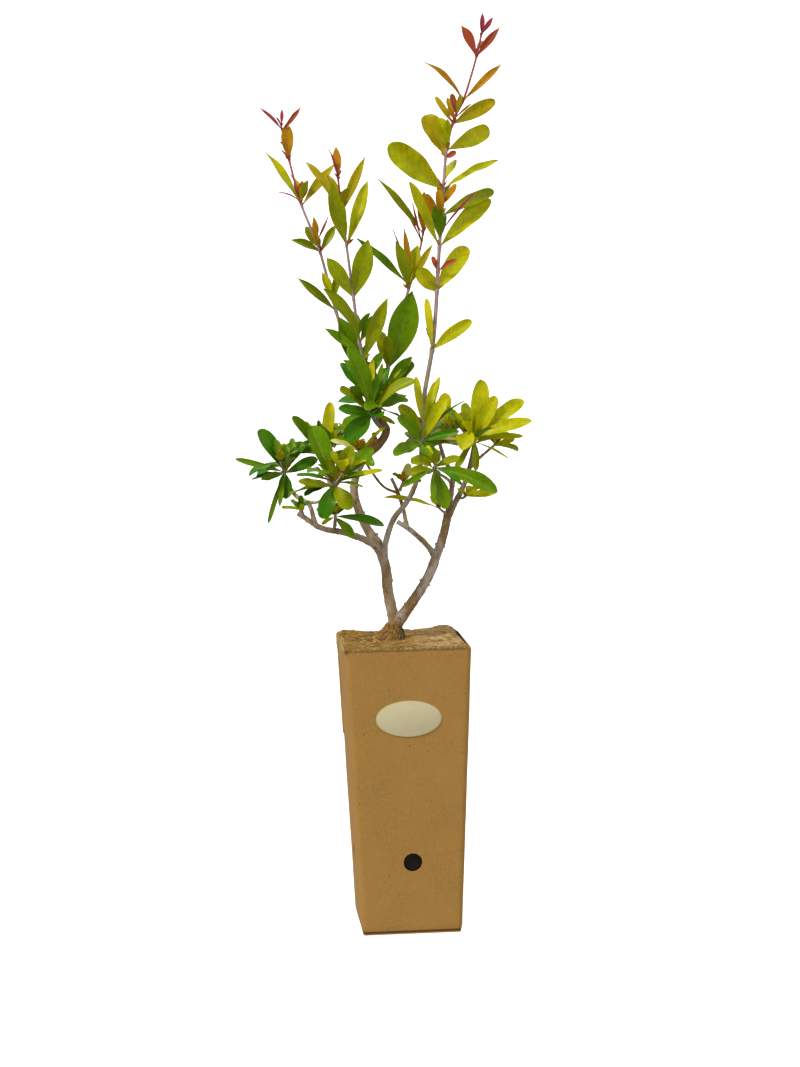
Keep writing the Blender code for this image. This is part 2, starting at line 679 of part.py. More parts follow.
def fuse(stem, leaves, twigs, twig_radius):
    """Fuse leaves and side twigs on a stem in one Boolean union; a leaf that spoils it is left off."""
    loose = collection(stem.name + "_loose")
    for index, twig in enumerate(twigs):
        radii = [twig_radius * MM * share for share in (1.0, 0.85, 0.7)]
        tube("%s_twig_%d" % (stem.name, index), twig, radii, TWIG_SIDES, loose)
    for index, leaf in enumerate(leaves):
        corners, faces = blade(leaf)
        mesh = bpy.data.meshes.new("leaf")
        mesh.from_pydata(corners, [], faces)
        bm = bmesh.new()
        bm.from_mesh(mesh)
        bmesh.ops.triangulate(bm, faces=bm.faces)
        bmesh.ops.recalc_face_normals(bm, faces=bm.faces)
        mesh_object("%s_leaf_%d" % (stem.name, index), bm, loose)
    bare = stem.data.copy()
    for attempt in range(FUSE_ATTEMPTS):
        stem.data = bare.copy()
        add_boolean(stem, loose, "UNION", "MANIFOLD")
        if apply_modifiers(stem):
            break
        for index, part in enumerate(loose.objects):
            part.location.z = NUDGE * math.sin(index + attempt)
    for part in list(loose.objects):
        bpy.data.objects.remove(part, do_unlink=True)
    bpy.data.collections.remove(loose)
    dress(stem, "leaf")


def make_foliage(plant, swollen):
    """Every long shoot and rosette as one solid, each kept to its own space."""
    masses = {**SHOOTS, **ROSETTES}
    stems = {}
    wood = [(name, tree_of(limb)) for name, limb in swollen.items()]
    for name, mass in masses.items():
        path = smooth_path(mass["stem"], TWIG_STEP)
        foot, tip = mass["radius"]
        radii = [(foot + (tip - foot) * share) * MM for share in travelled(path)]
        stem = tube(name, path, radii, TWIG_SIDES, plant)
        stands_clear(stem, swollen)
        wood.append((name, tree_of(stem)))
        stems[name] = (stem, path)
    crown = Crown(wood)
    draws = {name: random.Random(masses[name]["seed"]) for name in stems}
    leaves = {}
    for name, (stem, path) in stems.items():
        leaves[name] = named_leaves(name, path, crown, draws[name])
    for name, (stem, path) in stems.items():
        twigs = []
        if name in SHOOTS:
            leaves[name] += shoot_filling(name, path, crown, draws[name])
        else:
            more, twigs = rosette_filling(name, path, crown, draws[name])
            leaves[name] += more
        fuse(stem, leaves[name], twigs, masses[name]["radius"][1])


def side_at(height):
    """The width of the carton at a height."""
    return CARTON_FOOT + (CARTON_TOP - CARTON_FOOT) * height / CARTON_HEIGHT


def tapered_block(name, low, high, inset, group):
    """A block that follows the carton's taper between two heights, set in from its outside."""
    bm = bmesh.new()
    bmesh.ops.create_cube(bm, size=1.0)
    for vert in bm.verts:
        height = high if vert.co.z > 0 else low
        side = side_at(height) - 2 * inset
        vert.co = Vector((math.copysign(side / 2, vert.co.x), math.copysign(side / 2, vert.co.y), height))
    return mesh_object(name, bm, group)


def tapered_shell(name, low, high, inset, wall, group):
    """An open-topped shell with folded corners that follows the carton's taper."""
    shell = tapered_block(name, low, high, inset, group)
    bm = bmesh.new()
    bm.from_mesh(shell.data)
    bmesh.ops.delete(bm, geom=[face for face in bm.faces if face.normal.z > 0.9], context="FACES")
    bm.to_mesh(shell.data)
    bm.free()
    soften = shell.modifiers.new("folded corners", "BEVEL")
    soften.width = max(CORNER_ROUND - inset, 1.5 * wall)
    soften.segments = 2
    skin = shell.modifiers.new("wall", "SOLIDIFY")
    skin.thickness = wall
    skin.offset = -1.0
    skin.use_even_offset = True
    return shell


def make_carton(plant, cutters):
    """The board sleeve with a hole in each side, and the folded base under it."""
    carton = tapered_shell("carton", BASE_THICK + GAP, CARTON_HEIGHT, 0.0, BOARD, plant)
    for name, turn in (("front_holes", (math.pi / 2, 0, 0)), ("side_holes", (0, math.pi / 2, 0))):
        bpy.ops.mesh.primitive_cylinder_add(vertices=20, radius=HOLE_RADIUS, depth=1.5 * CARTON_TOP,
                                            location=(HOLE_SIDE_STEP, 0, HOLE_HEIGHT), rotation=turn)
        cutter = bpy.context.object
        cutter.name = name
        cutter.hide_render = True
        cutter.display_type = "WIRE"
        for group in list(cutter.users_collection):
            group.objects.unlink(cutter)
        cutters.objects.link(cutter)
        add_boolean(carton, cutter, "DIFFERENCE")
    dress(carton, "board")
    base = tapered_block("carton_base", 0.0, BASE_THICK, 0.0006, plant)
    bevel = base.modifiers.new("soft edge", "BEVEL")
    bevel.width = 0.0006
    bevel.segments = 1
    dress(base, "board")


def make_label(plant):
    """The bare oval label, lying on the sloping front of the carton."""
    bm = bmesh.new()
    bmesh.ops.create_circle(bm, segments=28, radius=1.0, cap_ends=True)
    for vert in bm.verts:
        vert.co.x *= LABEL_WIDE / 2
        vert.co.y *= LABEL_TALL / 2
    label = mesh_object("label", bm, plant)
    across, height = LABEL_PLACE
    slope = math.atan2((CARTON_TOP - CARTON_FOOT) / 2, CARTON_HEIGHT)
    label.location = (across, -side_at(height) / 2 - GAP, height)
    label.rotation_euler = (math.pi / 2 + slope, 0, 0)
    thick = label.modifiers.new("paper", "SOLIDIFY")
    thick.thickness = LABEL_THICK
    thick.offset = 1.0
    dress(label, "label")


def make_filling(plant):
    """The black liner pot inside the carton and the root ball that fills it."""
    inset = BOARD + GAP + LINER_SLACK
    floor = BASE_THICK + GAP + BOARD + LINER_SLACK + GAP
    liner = tapered_shell("liner_pot", floor, CARTON_HEIGHT + LINER_RIM, inset, LINER_WALL, plant)
    dress(liner, "liner")
    root_ball = tapered_block("root_ball", floor + LINER_WALL + GAP, SOIL_LEVEL,
                              inset + LINER_WALL + 2 * GAP, plant)
    dress(root_ball, "soil")


def mat_height(x, y):
    """The height of the mat's top: a hollow at the left, a flat right half and a raised back flap."""
    rough = math.sin(310 * x + 170 * y) + math.sin(260 * y - 190 * x + 1.3)
    height = MAT_TOP + 0.5 * MAT_ROUGH * MM * rough
    for across, back, wide, deep, rise in MAT_SWELLS:
        height += rise * MM * math.exp(-((x / MM - across) / wide) ** 2 - ((y / MM - back) / deep) ** 2)
    return height


def make_coir_mat(plant, cutters, swollen):
    """The coir mat: it fills the pot's mouth, laps the front rim and is drawn up round the stem."""
    inside = side_at(SOIL_LEVEL) - 2 * (BOARD + LINER_WALL + LINER_SLACK + 3 * GAP)
    bm = bmesh.new()
    bmesh.ops.create_grid(bm, x_segments=MAT_CELLS, y_segments=MAT_CELLS, size=inside / 2)
    for vert in bm.verts:
        vert.co.z = mat_height(vert.co.x, vert.co.y)
    walls = bmesh.ops.extrude_face_region(bm, geom=list(bm.faces))
    for vert in [part for part in walls["geom"] if isinstance(part, bmesh.types.BMVert)]:
        vert.co.z = SOIL_LEVEL + GAP
    bmesh.ops.recalc_face_normals(bm, faces=bm.faces)
    mat = mesh_object("coir_mat", bm, plant)

    bm = bmesh.new()
    bmesh.ops.create_cube(bm, size=1.0)
    low = CARTON_HEIGHT + LINER_RIM + GAP
    for vert in bm.verts:
        vert.co.x *= CARTON_TOP - 2 * CORNER_ROUND
        vert.co.y = (vert.co.y + 0.5) * LAP_DEPTH - CARTON_TOP / 2
        vert.co.z = low + (vert.co.z + 0.5) * (MAT_TOP - low)
    lap = mesh_object("front_lap", bm, cutters)

    bpy.ops.mesh.primitive_cone_add(vertices=16, radius1=CONE_RADIUS, radius2=CONE_TIP_RADIUS,
                                    depth=CONE_HEIGHT,
                                    location=(*CONE_PLACE, SOIL_LEVEL + CONE_SINK + CONE_HEIGHT / 2))
    cone = bpy.context.object
    cone.name = "coir_cone"
    for vert in cone.data.vertices:
        if vert.co.z > 0:
            vert.co.x += CONE_LEAN[0]
            vert.co.y += CONE_LEAN[1]
    for part in (lap, cone):
        add_boolean(mat, part, "UNION")
        apply_modifiers(mat)
        bpy.data.objects.remove(part, do_unlink=True)
    for name in ("trunk", "right_stem"):
        add_boolean(mat, swollen[name], "DIFFERENCE")
        apply_modifiers(mat)
    dress(mat, "coir")


def main():
    clear_scene()
    plant = collection("pomegranate_tree")
    cutters = collection("cutters")
    make_carton(plant, cutters)
    make_label(plant)
    make_filling(plant)
    swollen = make_limbs(plant, cutters)
    make_coir_mat(plant, cutters, swollen)
    make_foliage(plant, swollen)


main()
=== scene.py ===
"""Looks of a young pomegranate tree in a tall tapering carton, grown and dressed round its solids."""

import math
import random
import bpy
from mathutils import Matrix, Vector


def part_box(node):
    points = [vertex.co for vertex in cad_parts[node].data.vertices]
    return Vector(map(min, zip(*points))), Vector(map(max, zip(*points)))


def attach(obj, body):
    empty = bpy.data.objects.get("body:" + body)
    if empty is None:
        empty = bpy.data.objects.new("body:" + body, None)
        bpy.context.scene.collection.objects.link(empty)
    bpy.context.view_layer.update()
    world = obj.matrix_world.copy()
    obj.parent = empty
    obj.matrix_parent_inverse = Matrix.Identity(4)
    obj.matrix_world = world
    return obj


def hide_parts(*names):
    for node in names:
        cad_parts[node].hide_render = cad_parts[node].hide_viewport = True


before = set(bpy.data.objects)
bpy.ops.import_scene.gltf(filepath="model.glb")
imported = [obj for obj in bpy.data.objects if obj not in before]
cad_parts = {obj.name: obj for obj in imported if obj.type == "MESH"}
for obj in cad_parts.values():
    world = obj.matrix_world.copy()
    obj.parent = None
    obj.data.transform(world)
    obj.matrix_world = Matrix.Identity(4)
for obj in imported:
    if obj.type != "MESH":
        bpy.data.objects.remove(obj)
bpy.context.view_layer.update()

from types import SimpleNamespace

import bmesh
import bpy
from mathutils import Matrix, Quaternion, Vector, noise
from mathutils.kdtree import KDTree

bl_info = {
    "name": "Pomegranate Tree in a Carton",
    "version": (1, 0, 0),
    "blender": (4, 5, 0),
    "location": "3D View > Sidebar > Pomegranate",
    "description": "Grows the bark, shoots and leaves of a young pomegranate tree and finishes its carton",
    "category": "Add Mesh",
}

MM = 0.001
UP = Vector((0, 0, 1))

# The carton and its filling, in metres
CARTON_TOP = 0.100
CARTON_FOOT = 0.080
CARTON_HEIGHT = 0.230
BOARD = 0.0024
BASE_THICK = 0.0027
CORNER_ROUND = 0.0042
HOLE_RADIUS = 0.0075
HOLE_HEIGHT = 0.0585
HOLE_SIDE_STEP = 0.0010
GAP = 0.3 * MM
LABEL_WIDE = 0.052
LABEL_TALL = 0.029
LABEL_PLACE = (-0.0008, 0.1749)
LINER_WALL = 0.0012
LINER_INSET = BOARD + GAP + 0.0006
SOIL_LEVEL = 0.2220
MAT_TOP = 0.2325
CONE_FOOT = Vector((-0.0148, -0.0080, 0.2240))
CONE_HEIGHT = 0.0190
CONE_RADIUS = 0.0195
CONE_TIP_RADIUS = 0.0058
CONE_LEAN = (0.0070, 0.0075)
CONE_PROUD = 0.8 * MM
MAT_SWELLS = ((-28, 10, 16, 24, -4.5), (36, 42, 12, 8, 2.6), (-42, 34, 12, 14, 2.2))

LAP_FOOT = 0.1495
LAP_PLY = 0.75 * MM
OVER_RIM = 1.4 * MM

# How many loose pieces, and the share of the mat's fibres at its edge
BOARD_FRAYS = 46
COMPOST_CRUMBS = 500
FRINGE_FIBRES = 2000
MOSS_TUFTS = 230
SHARE_AT_EDGE = 0.38
SHARE_AT_LEFT = 0.30

# How fine the meshes are
SLEEVE_ROWS = 90
MAT_CELLS = 110
LIMB_SIDES = 26
STEM_SIDES = 12
STEM_STEP = 1.2 * MM
TWIG_RING = 1.5 * MM
FULL_LEAF = 19 * MM

# How the wood and leaves grow
TWIG_STEP = 0.022
FLARE = 0.0022
FLARE_REACH = 0.0090
COLLAR_SWELL = 0.35
COLLAR_REACH = 2.2
GOLDEN_ANGLE = 137.508
WHORL_LOWEST = -14
WHORL_RISE = 72
WHORL_TAPER = 0.42
SIDE_TWIG = 13
WIDEST = 0.62
POINTED_ABOVE = 650
BLUNT_RATIO = 0.36
POINTED_RATIO = 0.27
TURNS_TRIED = ((0, 0), (12, 0), (-12, 0), (0, 12), (0, -12), (24, 6), (-24, 6), (0, 24))
SAME_POINT = 0.12 * MM
STEM_SKIN = 1.22
STEM_CHANGES = (0.30, 0.74)
NODE_SWELL = 0.28
NODE_REACH = 0.0016

# Wood, in mm: the points that each limb's middle line passes, and its radius at foot and tip
LIMBS = {
    "trunk": (((-6, 0, 222.3), (-6, 0, 229), (-7, 0, 246), (-11, 0, 268), (-13, 0, 290), (-19, 1, 309)),
              4.6, 3.9),
    "right_stem": (((-6, 0, 244), (4, -2, 256), (20, 0, 279), (29, 3, 299), (34, 5, 312), (39, 8, 331)),
                   4.4, 3.3),
    "left_bough": (((-16, 0, 302), (-26, -6, 311), (-46, -18, 320), (-65, -25, 325), (-83, -27, 337)),
                   3.0, 1.9),
    "left_riser": (((-70, -25, 328), (-74, -22, 343), (-84, -13, 350), (-92, -7, 362)), 1.9, 1.4),
    "left_twig": (((-76, -20, 345), (-67, -28, 346), (-58, -35, 353)), 1.3, 1.1),
    "left_spur": (((-55, -22, 321), (-54, -25, 331)), 1.3, 1.1),
    "middle_stem": (((-19, 1, 308), (-29, 4, 325), (-36, 6, 346), (-35, 6, 362), (-27, 6, 380)), 3.6, 3.0),
    "crook": (((-27, 6, 380), (-15, 5, 389), (-10, 3, 399), (-15, 1, 408), (-17, 0, 416)), 3.5, 3.0),
    "crook_stub": (((-18, 5, 387), (-20, 3, 397)), 1.9, 1.5),
    "leader_bough": (((-14, 0, 297), (-13, -4, 309), (-7, -9, 328), (4.5, -12, 343.5), (12, -14, 360),
                      (16, -14, 380)),
                     2.5, 1.8),
    "right_back_bough": (((38, 7, 326), (42, 13, 346), (44, 20, 360), (38, 28, 374)), 2.4, 1.6),
    "right_front_bough": (((39, 8, 329), (44, 4, 339), (52, -5, 358), (57, -8, 377)), 2.4, 1.7),
    "right_stub": (((55, -7, 368), (65, -5, 377), (73, -2, 383)), 1.3, 1.0),
    "inner_twig": (((43, 16, 352), (38, -4, 359), (26, -28, 367)), 1.3, 1.1),
    "side_bough": (((28, 3, 296), (21, 6.5, 306), (9, 13, 317.5), (-1, 18, 324)), 2.3, 1.9),
    "side_riser": (((6, 16, 320), (4, 18, 333), (0, 19, 347), (-5, 20, 359)), 1.7, 1.3),
    "side_twig": (((0, 19, 347), (-14, 8, 355), (-31, -14, 379)), 1.1, 0.9),
    "back_bough": (((-36, 6, 346), (-45, 22, 341), (-53, 38, 352), (-56, 46, 364)), 1.9, 1.4),
}
SILVERY_LIMBS = ("right_stem", "side_bough", "leader_bough", "right_front_bough", "right_back_bough")
BROWN_LIMBS = ("crook", "crook_stub", "side_twig")
CUT_ENDS = ("crook", "crook_stub", "side_bough", "right_stub")

# Long shoots, in mm: the stem's points, its radius at foot and tip, then one row for each pair of
# leaves: the height where it stands, then how far its left and its right leaf reach across and up
# and how wide each is, and the tone of each. The leaves round the foot are given by their reach.
SHOOTS = {
    "leader_shoot": {
        "stem": ((16, -14, 378), (19, -13, 424), (28, -9, 473), (34, -4, 541), (41, 0, 615), (48, 0, 643),
            (56, 0, 659), (66, 0, 690), (71, 0, 711)),
        "pairs": ((404, -5, 38, 6, 12, 33, 7, "yellow", "lime"),
            (462, -3, 41, 6, 31, 23, 10, "yellow", "sunlit"),
            (508, -16, 18, 13, 26, 35, 15, "sunlit", "sunlit"),
            (524, -4, 12, 4, 14, 9, 4, "russet", "russet"),
            (543, -24, 51, 9, 43, 38, 14, "sunlit", "lime"),
            (554, -11, 31, 10, 27, 31, 2, "bronze", "crimson"),
            (567, -2, 21, 7, 45, 20, 10, "bronze", "fresh"),
            (576, -3, 21, 4, 11, 16, 6, "bronze", "bronze"),
            (588, -44, 35, 20, 46, 23, 7, "lime", "lime"), (613, -15, 34, 16, 8, 4, 5, "olive", "russet"),
            (619, -7, 25, 11, 36, 17, 14, "sunlit", "lime"),
            (639, -13, 22, 5, 32, 17, 11, "olive", "olive"),
            (643, -5, 9, 5, 14, 12, 2, "bronze", "bronze"), (646, -3, 17, 5, 4, 16, 4, "russet", "olive"),
            (657, -31, 30, 6, 32, 29, 6, "bronze", "bronze"),
            (691, -11, 25, 8, 18, 22, 6, "russet", "russet"),
            (708, 1, 17, 4, 10, 14, 4, "crimson", "crimson")),
        "foot_leaves": ((-18, -6, 30, 12), (-23, -10, 21, 12), (-24, -14, -7, 11), (5, -15, -15, 10),
            (8, 7, 54, 6), (20, -6, 34, 11), (33, -12, 33, 4), (28, -16, 8, 7), (12, -8, -18, 8),
            (-6, 14, 21, 6), (-9, 20, 9, 9), (17, 20, 12, 9)),
        "radius": (1.7, 0.6),
        "foot_tones": "fresh leaf leaf lime sunlit sunlit deep deep deep deep leaf leaf",
        "filling_tones": "leaf fresh fresh lime", "front": 0.8, "seed": 3,
    },
    "left_shoot": {
        "stem": ((-16, 1, 410), (-19, 3, 421), (-38, 13, 464), (-47, 18, 493), (-59, 26, 543),
            (-72, 30, 578), (-81, 34, 614), (-87, 36, 643)),
        "pairs": ((442, -18, 48, 16, 4, 26, 7, "leaf", "leaf"),
            (464, -5, 21, 10, 7, 19, 7, "fresh", "leaf"), (494, -31, 27, 7, -5, 17, 6, "fresh", "olive"),
            (503, -8, 22, 7, 3, 21, 6, "lime", "fresh"), (541, -24, 10, 7, 13, 21, 7, "fresh", "fresh"),
            (544, -10, 18, 10, -5, 20, 4, "fresh", "bronze"),
            (549, -2, 20, 5, 10, 20, 2, "bronze", "crimson"),
            (578, -28, 44, 7, 27, 33, 8, "lime", "olive"),
            (581, -18, 8, 2, 6, 15, 5, "crimson", "russet"),
            (583, 2, 15, 6, -5, 13, 3, "russet", "russet"),
            (614, -7, 9, 2, -1, 30, 10, "crimson", "bronze"),
            (638, -17, 18, 4, 15, 18, 4, "crimson", "russet"),
            (642, -4, 7, 2, 1, 13, 3, "crimson", "crimson")),
        "radius": (1.35, 0.6), "filling_tones": "leaf fresh leaf", "front": 0.75, "seed": 8,
    },
    "middle_shoot": {
        "stem": ((-17, -1, 408), (-19, -3, 421), (-30, -7, 465), (-35, -11, 504), (-43, -17, 571),
            (-47, -20, 609)),
        "pairs": ((440, -20, 16, 8, 12, 22, 8, "leaf", "leaf"),
            (455, -28, 26, 8, 19, 49, 12, "leaf", "fresh"),
            (469, -29, 43, 13, 10, 21, 7, "fresh", "leaf"),
            (504, -20, 32, 12, 12, 46, 16, "fresh", "fresh"),
            (545, -12, 50, 13, 18, 51, 10, "fresh", "lime"),
            (571, -28, 41, 7, 18, 42, 8, "olive", "olive"),
            (597, -7, 23, 2, -1, 25, 7, "crimson", "bronze")),
        "foot_leaves": ((-19, 12, 40, 11), (-6, 7, 36, 9)),
        "radius": (1.35, 0.6), "foot_tones": "deep leaf", "filling_tones": "leaf fresh leaf",
        "front": 0.7, "seed": 14,
    },
    "centre_shoot": {
        "stem": ((-17, 1, 408), (-14, 2, 422), (-8, 3, 447), (4, -2, 493), (9, -4, 510), (18, 3, 536),
            (23, 8, 556)),
        "pairs": ((431, -16, 14, 8, 24, 26, 10, "leaf", "leaf"),
            (447, -9, 25, 8, 20, 62, 23, "lime", "leaf"), (510, -10, 38, 10, 9, 35, 12, "fresh", "lime"),
            (513, -40, 38, 8, 18, 32, 6, "leaf", "olive"),
            (516, -14, 42, 2, -4, 42, 5, "russet", "bronze"),
            (548, -13, 28, 2, -7, 30, 2, "crimson", "russet"),
            (554, -36, 43, 7, 2, 33, 10, "fresh", "bronze")),
        "foot_leaves": ((27, 8, 28, 11),),
        "radius": (1.4, 0.6), "foot_tones": "leaf", "filling_tones": "leaf fresh leaf", "front": 0.7,
        "seed": 21,
    },
}

# Leaf rosettes, in mm: the stem's points and radii, the reach and width of the leaves that stand out
# most, how many more follow the rule and the longest of them, then the tones of both kinds
ROSETTES = {
    "crown_rosette": {
        "stem": ((-15, -1, 402), (-20, -7, 408), (-24, -14, 416)),
        "leading": ((-17, -10, 51, 14), (34, -14, 25, 14), (-22, -14, -19, 15), (15, 2, 33, 11),
            (2, 6, 43, 6), (-24, -4, 19, 11), (30, -4, 9, 9), (-27, -12, 5, 9), (9, -8, 39, 4),
            (24, 0, 35, 3), (18, -10, -9, 4), (11, 12, 34, 6)),
        "radius": (1.6, 1.2), "count": 12, "longest": 38, "twigs": 2, "seed": 32,
        "tones": "leaf fresh deep deep yellow fresh leaf deep leaf fresh fresh sunlit",
        "rule_tones": "leaf deep leaf fresh yellow deep",
    },
    "near_left_rosette": {
        "stem": ((-62, -32, 350), (-56, -37, 356), (-55, -38, 363)),
        "leading": ((-16, 8, 46, 17), (14, -4, 30, 12), (32, 4, 25, 11), (38, -6, 10, 6),
            (-28, -12, 5, 7), (22, -12, -3, 4), (12, -14, -18, 13), (-10, -8, -26, 13), (-23, -2, -8, 8),
            (-29, 6, 6, 5)),
        "radius": (1.1, 1.0), "count": 12, "longest": 36, "twigs": 2, "seed": 42,
        "tones": "leaf fresh leaf lime fresh leaf fresh deep deep deep",
        "rule_tones": "fresh leaf lime fresh leaf",
    },
    "far_left_rosette": {
        "stem": ((-90, -9, 359), (-92, -6, 365), (-92, -5, 371)),
        "leading": ((-20, -4, 33, 13), (-39, -8, 12, 5), (-19, -10, -5, 6), (0, -12, -21, 11),
            (-14, -6, -40, 4), (0, 10, 23, 6), (18, 10, 22, 6), (26, 4, 11, 9), (-4, -14, -27, 4),
            (-6, 8, 17, 6)),
        "radius": (1.35, 1.1), "count": 9, "longest": 34, "twigs": 2, "seed": 51,
        "tones": "deep leaf leaf deep leaf olive deep deep leaf deep",
        "rule_tones": "deep leaf leaf fresh deep",
    },
    "left_spur_rosette": {
        "stem": ((-54, -24, 326), (-54, -26, 336)),
        "leading": ((38, -6, -8, 9), (13, -10, -16, 8), (-11, -8, -5, 4), (-14, 6, 5, 7), (9, 6, 12, 7)),
        "radius": (1.1, 1.0), "count": 3, "longest": 26, "twigs": 0, "seed": 65,
        "tones": "deep leaf sunlit deep deep", "rule_tones": "deep leaf",
    },
    "left_end_tuft": {
        "stem": ((-80, -27, 335), (-81, -28, 341)),
        "leading": ((-5, -6, -12, 8), (-15, 6, 2, 4), (10, -10, 4, 6)),
        "radius": (1.8, 1.2), "count": 4, "longest": 22, "twigs": 0, "seed": 76,
        "tones": "leaf fresh leaf", "rule_tones": "leaf deep",
    },
    "back_left_rosette": {
        "stem": ((-56, 43, 360), (-58, 50, 372), (-58, 52, 380)),
        "leading": ((-25, -10, 32, 9), (7, 0, 43, 10), (-3, -4, 27, 5), (12, 16, 26, 10), (-30, 4, 4, 10)),
        "radius": (1.35, 1.1), "count": 15, "longest": 40, "twigs": 2, "seed": 83,
        "tones": "leaf yellow deep leaf leaf", "rule_tones": "leaf deep deep leaf fresh",
    },
    "inner_right_rosette": {
        "stem": ((29, -23, 366), (24, -32, 370), (25, -34, 373)),
        "leading": ((48, -6, -20, 13), (-19, 3, -3, 9), (-26, -7, -13, 5), (8, -9, -31, 12),
            (22, -10, -13, 6), (-2, -12, -25, 5), (17, 4, 4, 7)),
        "radius": (1.1, 1.0), "count": 5, "longest": 28, "twigs": 0, "seed": 92,
        "tones": "leaf fresh leaf leaf deep leaf leaf", "rule_tones": "leaf fresh fresh",
    },
    "right_front_rosette": {
        "stem": ((56, -8, 372), (58, -9, 383), (59, -9, 392)),
        "leading": ((8, 8, 50, 14), (18, -2, 36, 12), (40, -6, 30, 12), (45, -12, 16, 11),
            (-11, -16, 15, 10), (-32, -12, 3, 10), (-7, 6, 29, 9), (36, -14, 2, 5), (-22, 10, 27, 7),
            (-16, -12, -23, 6), (27, -4, -14, 3), (0, -8, -24, 6)),
        "radius": (1.65, 1.2), "count": 11, "longest": 40, "twigs": 2, "seed": 104,
        "tones": "lime sunlit sunlit lime sunlit olive fresh lime lime fresh lime fresh",
        "rule_tones": "lime fresh leaf sunlit fresh",
    },
    "right_back_rosette": {
        "stem": ((39, 26, 371), (36, 32, 384), (35, 34, 392)),
        "leading": ((8, 14, 34, 12), (-24, 12, 14, 10), (30, 14, 18, 12), (-22, -6, -2, 8), (22, 4, -4, 8)),
        "radius": (1.55, 1.2), "count": 12, "longest": 38, "twigs": 2, "seed": 113,
        "tones": "sunlit leaf fresh leaf fresh", "rule_tones": "fresh leaf lime leaf",
    },
    "right_stub_tuft": {
        "stem": ((69, -3, 380), (77, 0, 386)),
        "leading": ((20, 6, -5, 5), (16, -10, 6, 5), (10, 14, 12, 5)),
        "radius": (0.95, 0.8), "count": 2, "longest": 20, "twigs": 0, "seed": 121,
        "tones": "fresh lime leaf", "rule_tones": "fresh leaf",
    },
    "side_tuft": {
        "stem": ((-30, -12, 377), (-34, -17, 385)),
        "leading": ((-23, -4, 10, 6), (-16, -8, 25, 6), (-17, 4, 12, 8), (-5, 10, 19, 6), (9, -14, -9, 7),
            (21, 4, 21, 3)),
        "radius": (0.85, 0.8), "count": 3, "longest": 22, "twigs": 0, "seed": 134,
        "tones": "straw yellow leaf bronze leaf lime", "rule_tones": "fresh bronze",
    },
    "long_spur_leaf": {
        "stem": ((38, 7, 330), (33, 2, 334), (30, -1, 337)),
        "leading": ((-45, -8, 11, 5), (-4, -12, 10, 4)),
        "radius": (0.9, 0.8), "count": 0, "longest": 16, "twigs": 0, "seed": 157, "tones": "lime fresh",
        "rule_tones": "lime",
    },
    "right_low_tuft": {
        "stem": ((46, 2, 343), (50, -4, 344), (52, -6, 346)),
        "leading": ((26, -3, 4, 7), (14, -9, 12, 5), (-5, -12, 6, 4)),
        "radius": (0.9, 0.8), "count": 0, "longest": 16, "twigs": 0, "seed": 166,
        "tones": "lime sunlit fresh", "rule_tones": "lime",
    },
    "side_riser_tuft": {
        "stem": ((1, 18, 349), (3, 17, 354), (4, 17, 357)),
        "leading": ((6, 0, 18, 7), (15, -4, 2, 4)),
        "radius": (1.25, 0.9), "count": 0, "longest": 20, "twigs": 0, "seed": 145, "tones": "straw leaf",
        "rule_tones": "fresh",
    },
}

# deep is painted shade, a darker copy of the green for leaves inside the masses, and sunlit is painted light,
# a paler copy of the yellow-green
TONES = ("deep", "leaf", "fresh", "lime", "sunlit", "yellow", "straw", "olive", "bronze", "russet", "crimson")
REDDISH = ("bronze", "russet", "crimson")
VEINS = {"lime": "fresh", "sunlit": "fresh", "yellow": "lime"}
FIBRES = ("coir", "coir_pale", "coir_dark", "coir_orange")


def linear(hex_colour):
    """An sRGB hex colour as three linear values."""
    parts = [int(hex_colour[start:start + 2], 16) / 255 for start in (1, 3, 5)]
    return tuple(part / 12.92 if part <= 0.04045 else ((part + 0.055) / 1.055) ** 2.4 for part in parts)


def length_setting(label, description, value):
    """A length that a user may change."""
    return bpy.props.FloatProperty(name=label, description=description, default=value, min=0.0,
                                   unit="LENGTH", precision=5)


def count_setting(label, description, value):
    """A number of pieces that a user may change."""
    return bpy.props.IntProperty(name=label, description=description, default=value, min=0)


def colour_settings(*rows):
    """Colours that a user may change, from their names, what they colour and their sRGB values."""
    return {name: bpy.props.FloatVectorProperty(
        name=name.replace("_", " ").capitalize(), description=description, default=linear(hex_colour),
        subtype="COLOR", size=3, min=0.0, max=1.0) for name, description, hex_colour in rows}


class PlantSizes(bpy.types.PropertyGroup):
    """Sizes of the bark's relief and of the finer leaves."""

    bark_relief: length_setting("Bark relief", "How far the bark's ridges stand out", 0.00032)
    bark_ring: length_setting("Bark ring", "Distance between the rings of a bark mesh", 0.0008)
    leaf_thick: length_setting("Leaf thickness", "Thickness of a leaf beside its midrib", 0.00034)
    edge_thick: length_setting("Leaf edge", "Thickness of a leaf near its edge", 0.00012)
    midrib: length_setting("Midrib", "Radius of the midrib of a full-grown leaf", 0.00034)
    stalk: length_setting("Leaf stalk", "Radius of a leaf's stalk", 0.00046)
    axil_leaves: count_setting("Axil leaves", "Small new leaves at each pair on a shoot", 4)
    heart_leaves: count_setting("Heart leaves", "Small new leaves in the heart of a rosette", 6)


class PotSizes(bpy.types.PropertyGroup):
    """Sizes of the carton's detail and of the coir mat."""

    wall_waver: length_setting("Wall waver", "How far the board's faces are from flat", 0.00035)
    lip_height: length_setting("Liner lip", "How far the liner's lip stands over the carton", 0.0009)
    strand: length_setting("Coir strand", "Radius of a coir fibre, drawn three times its real size", 0.00013)
    strands: count_setting("Coir strands", "Loose coir fibres on the mat", 5200)
    cone_strands: count_setting("Cone strands", "Coir fibres drawn up round the stem", 1700)


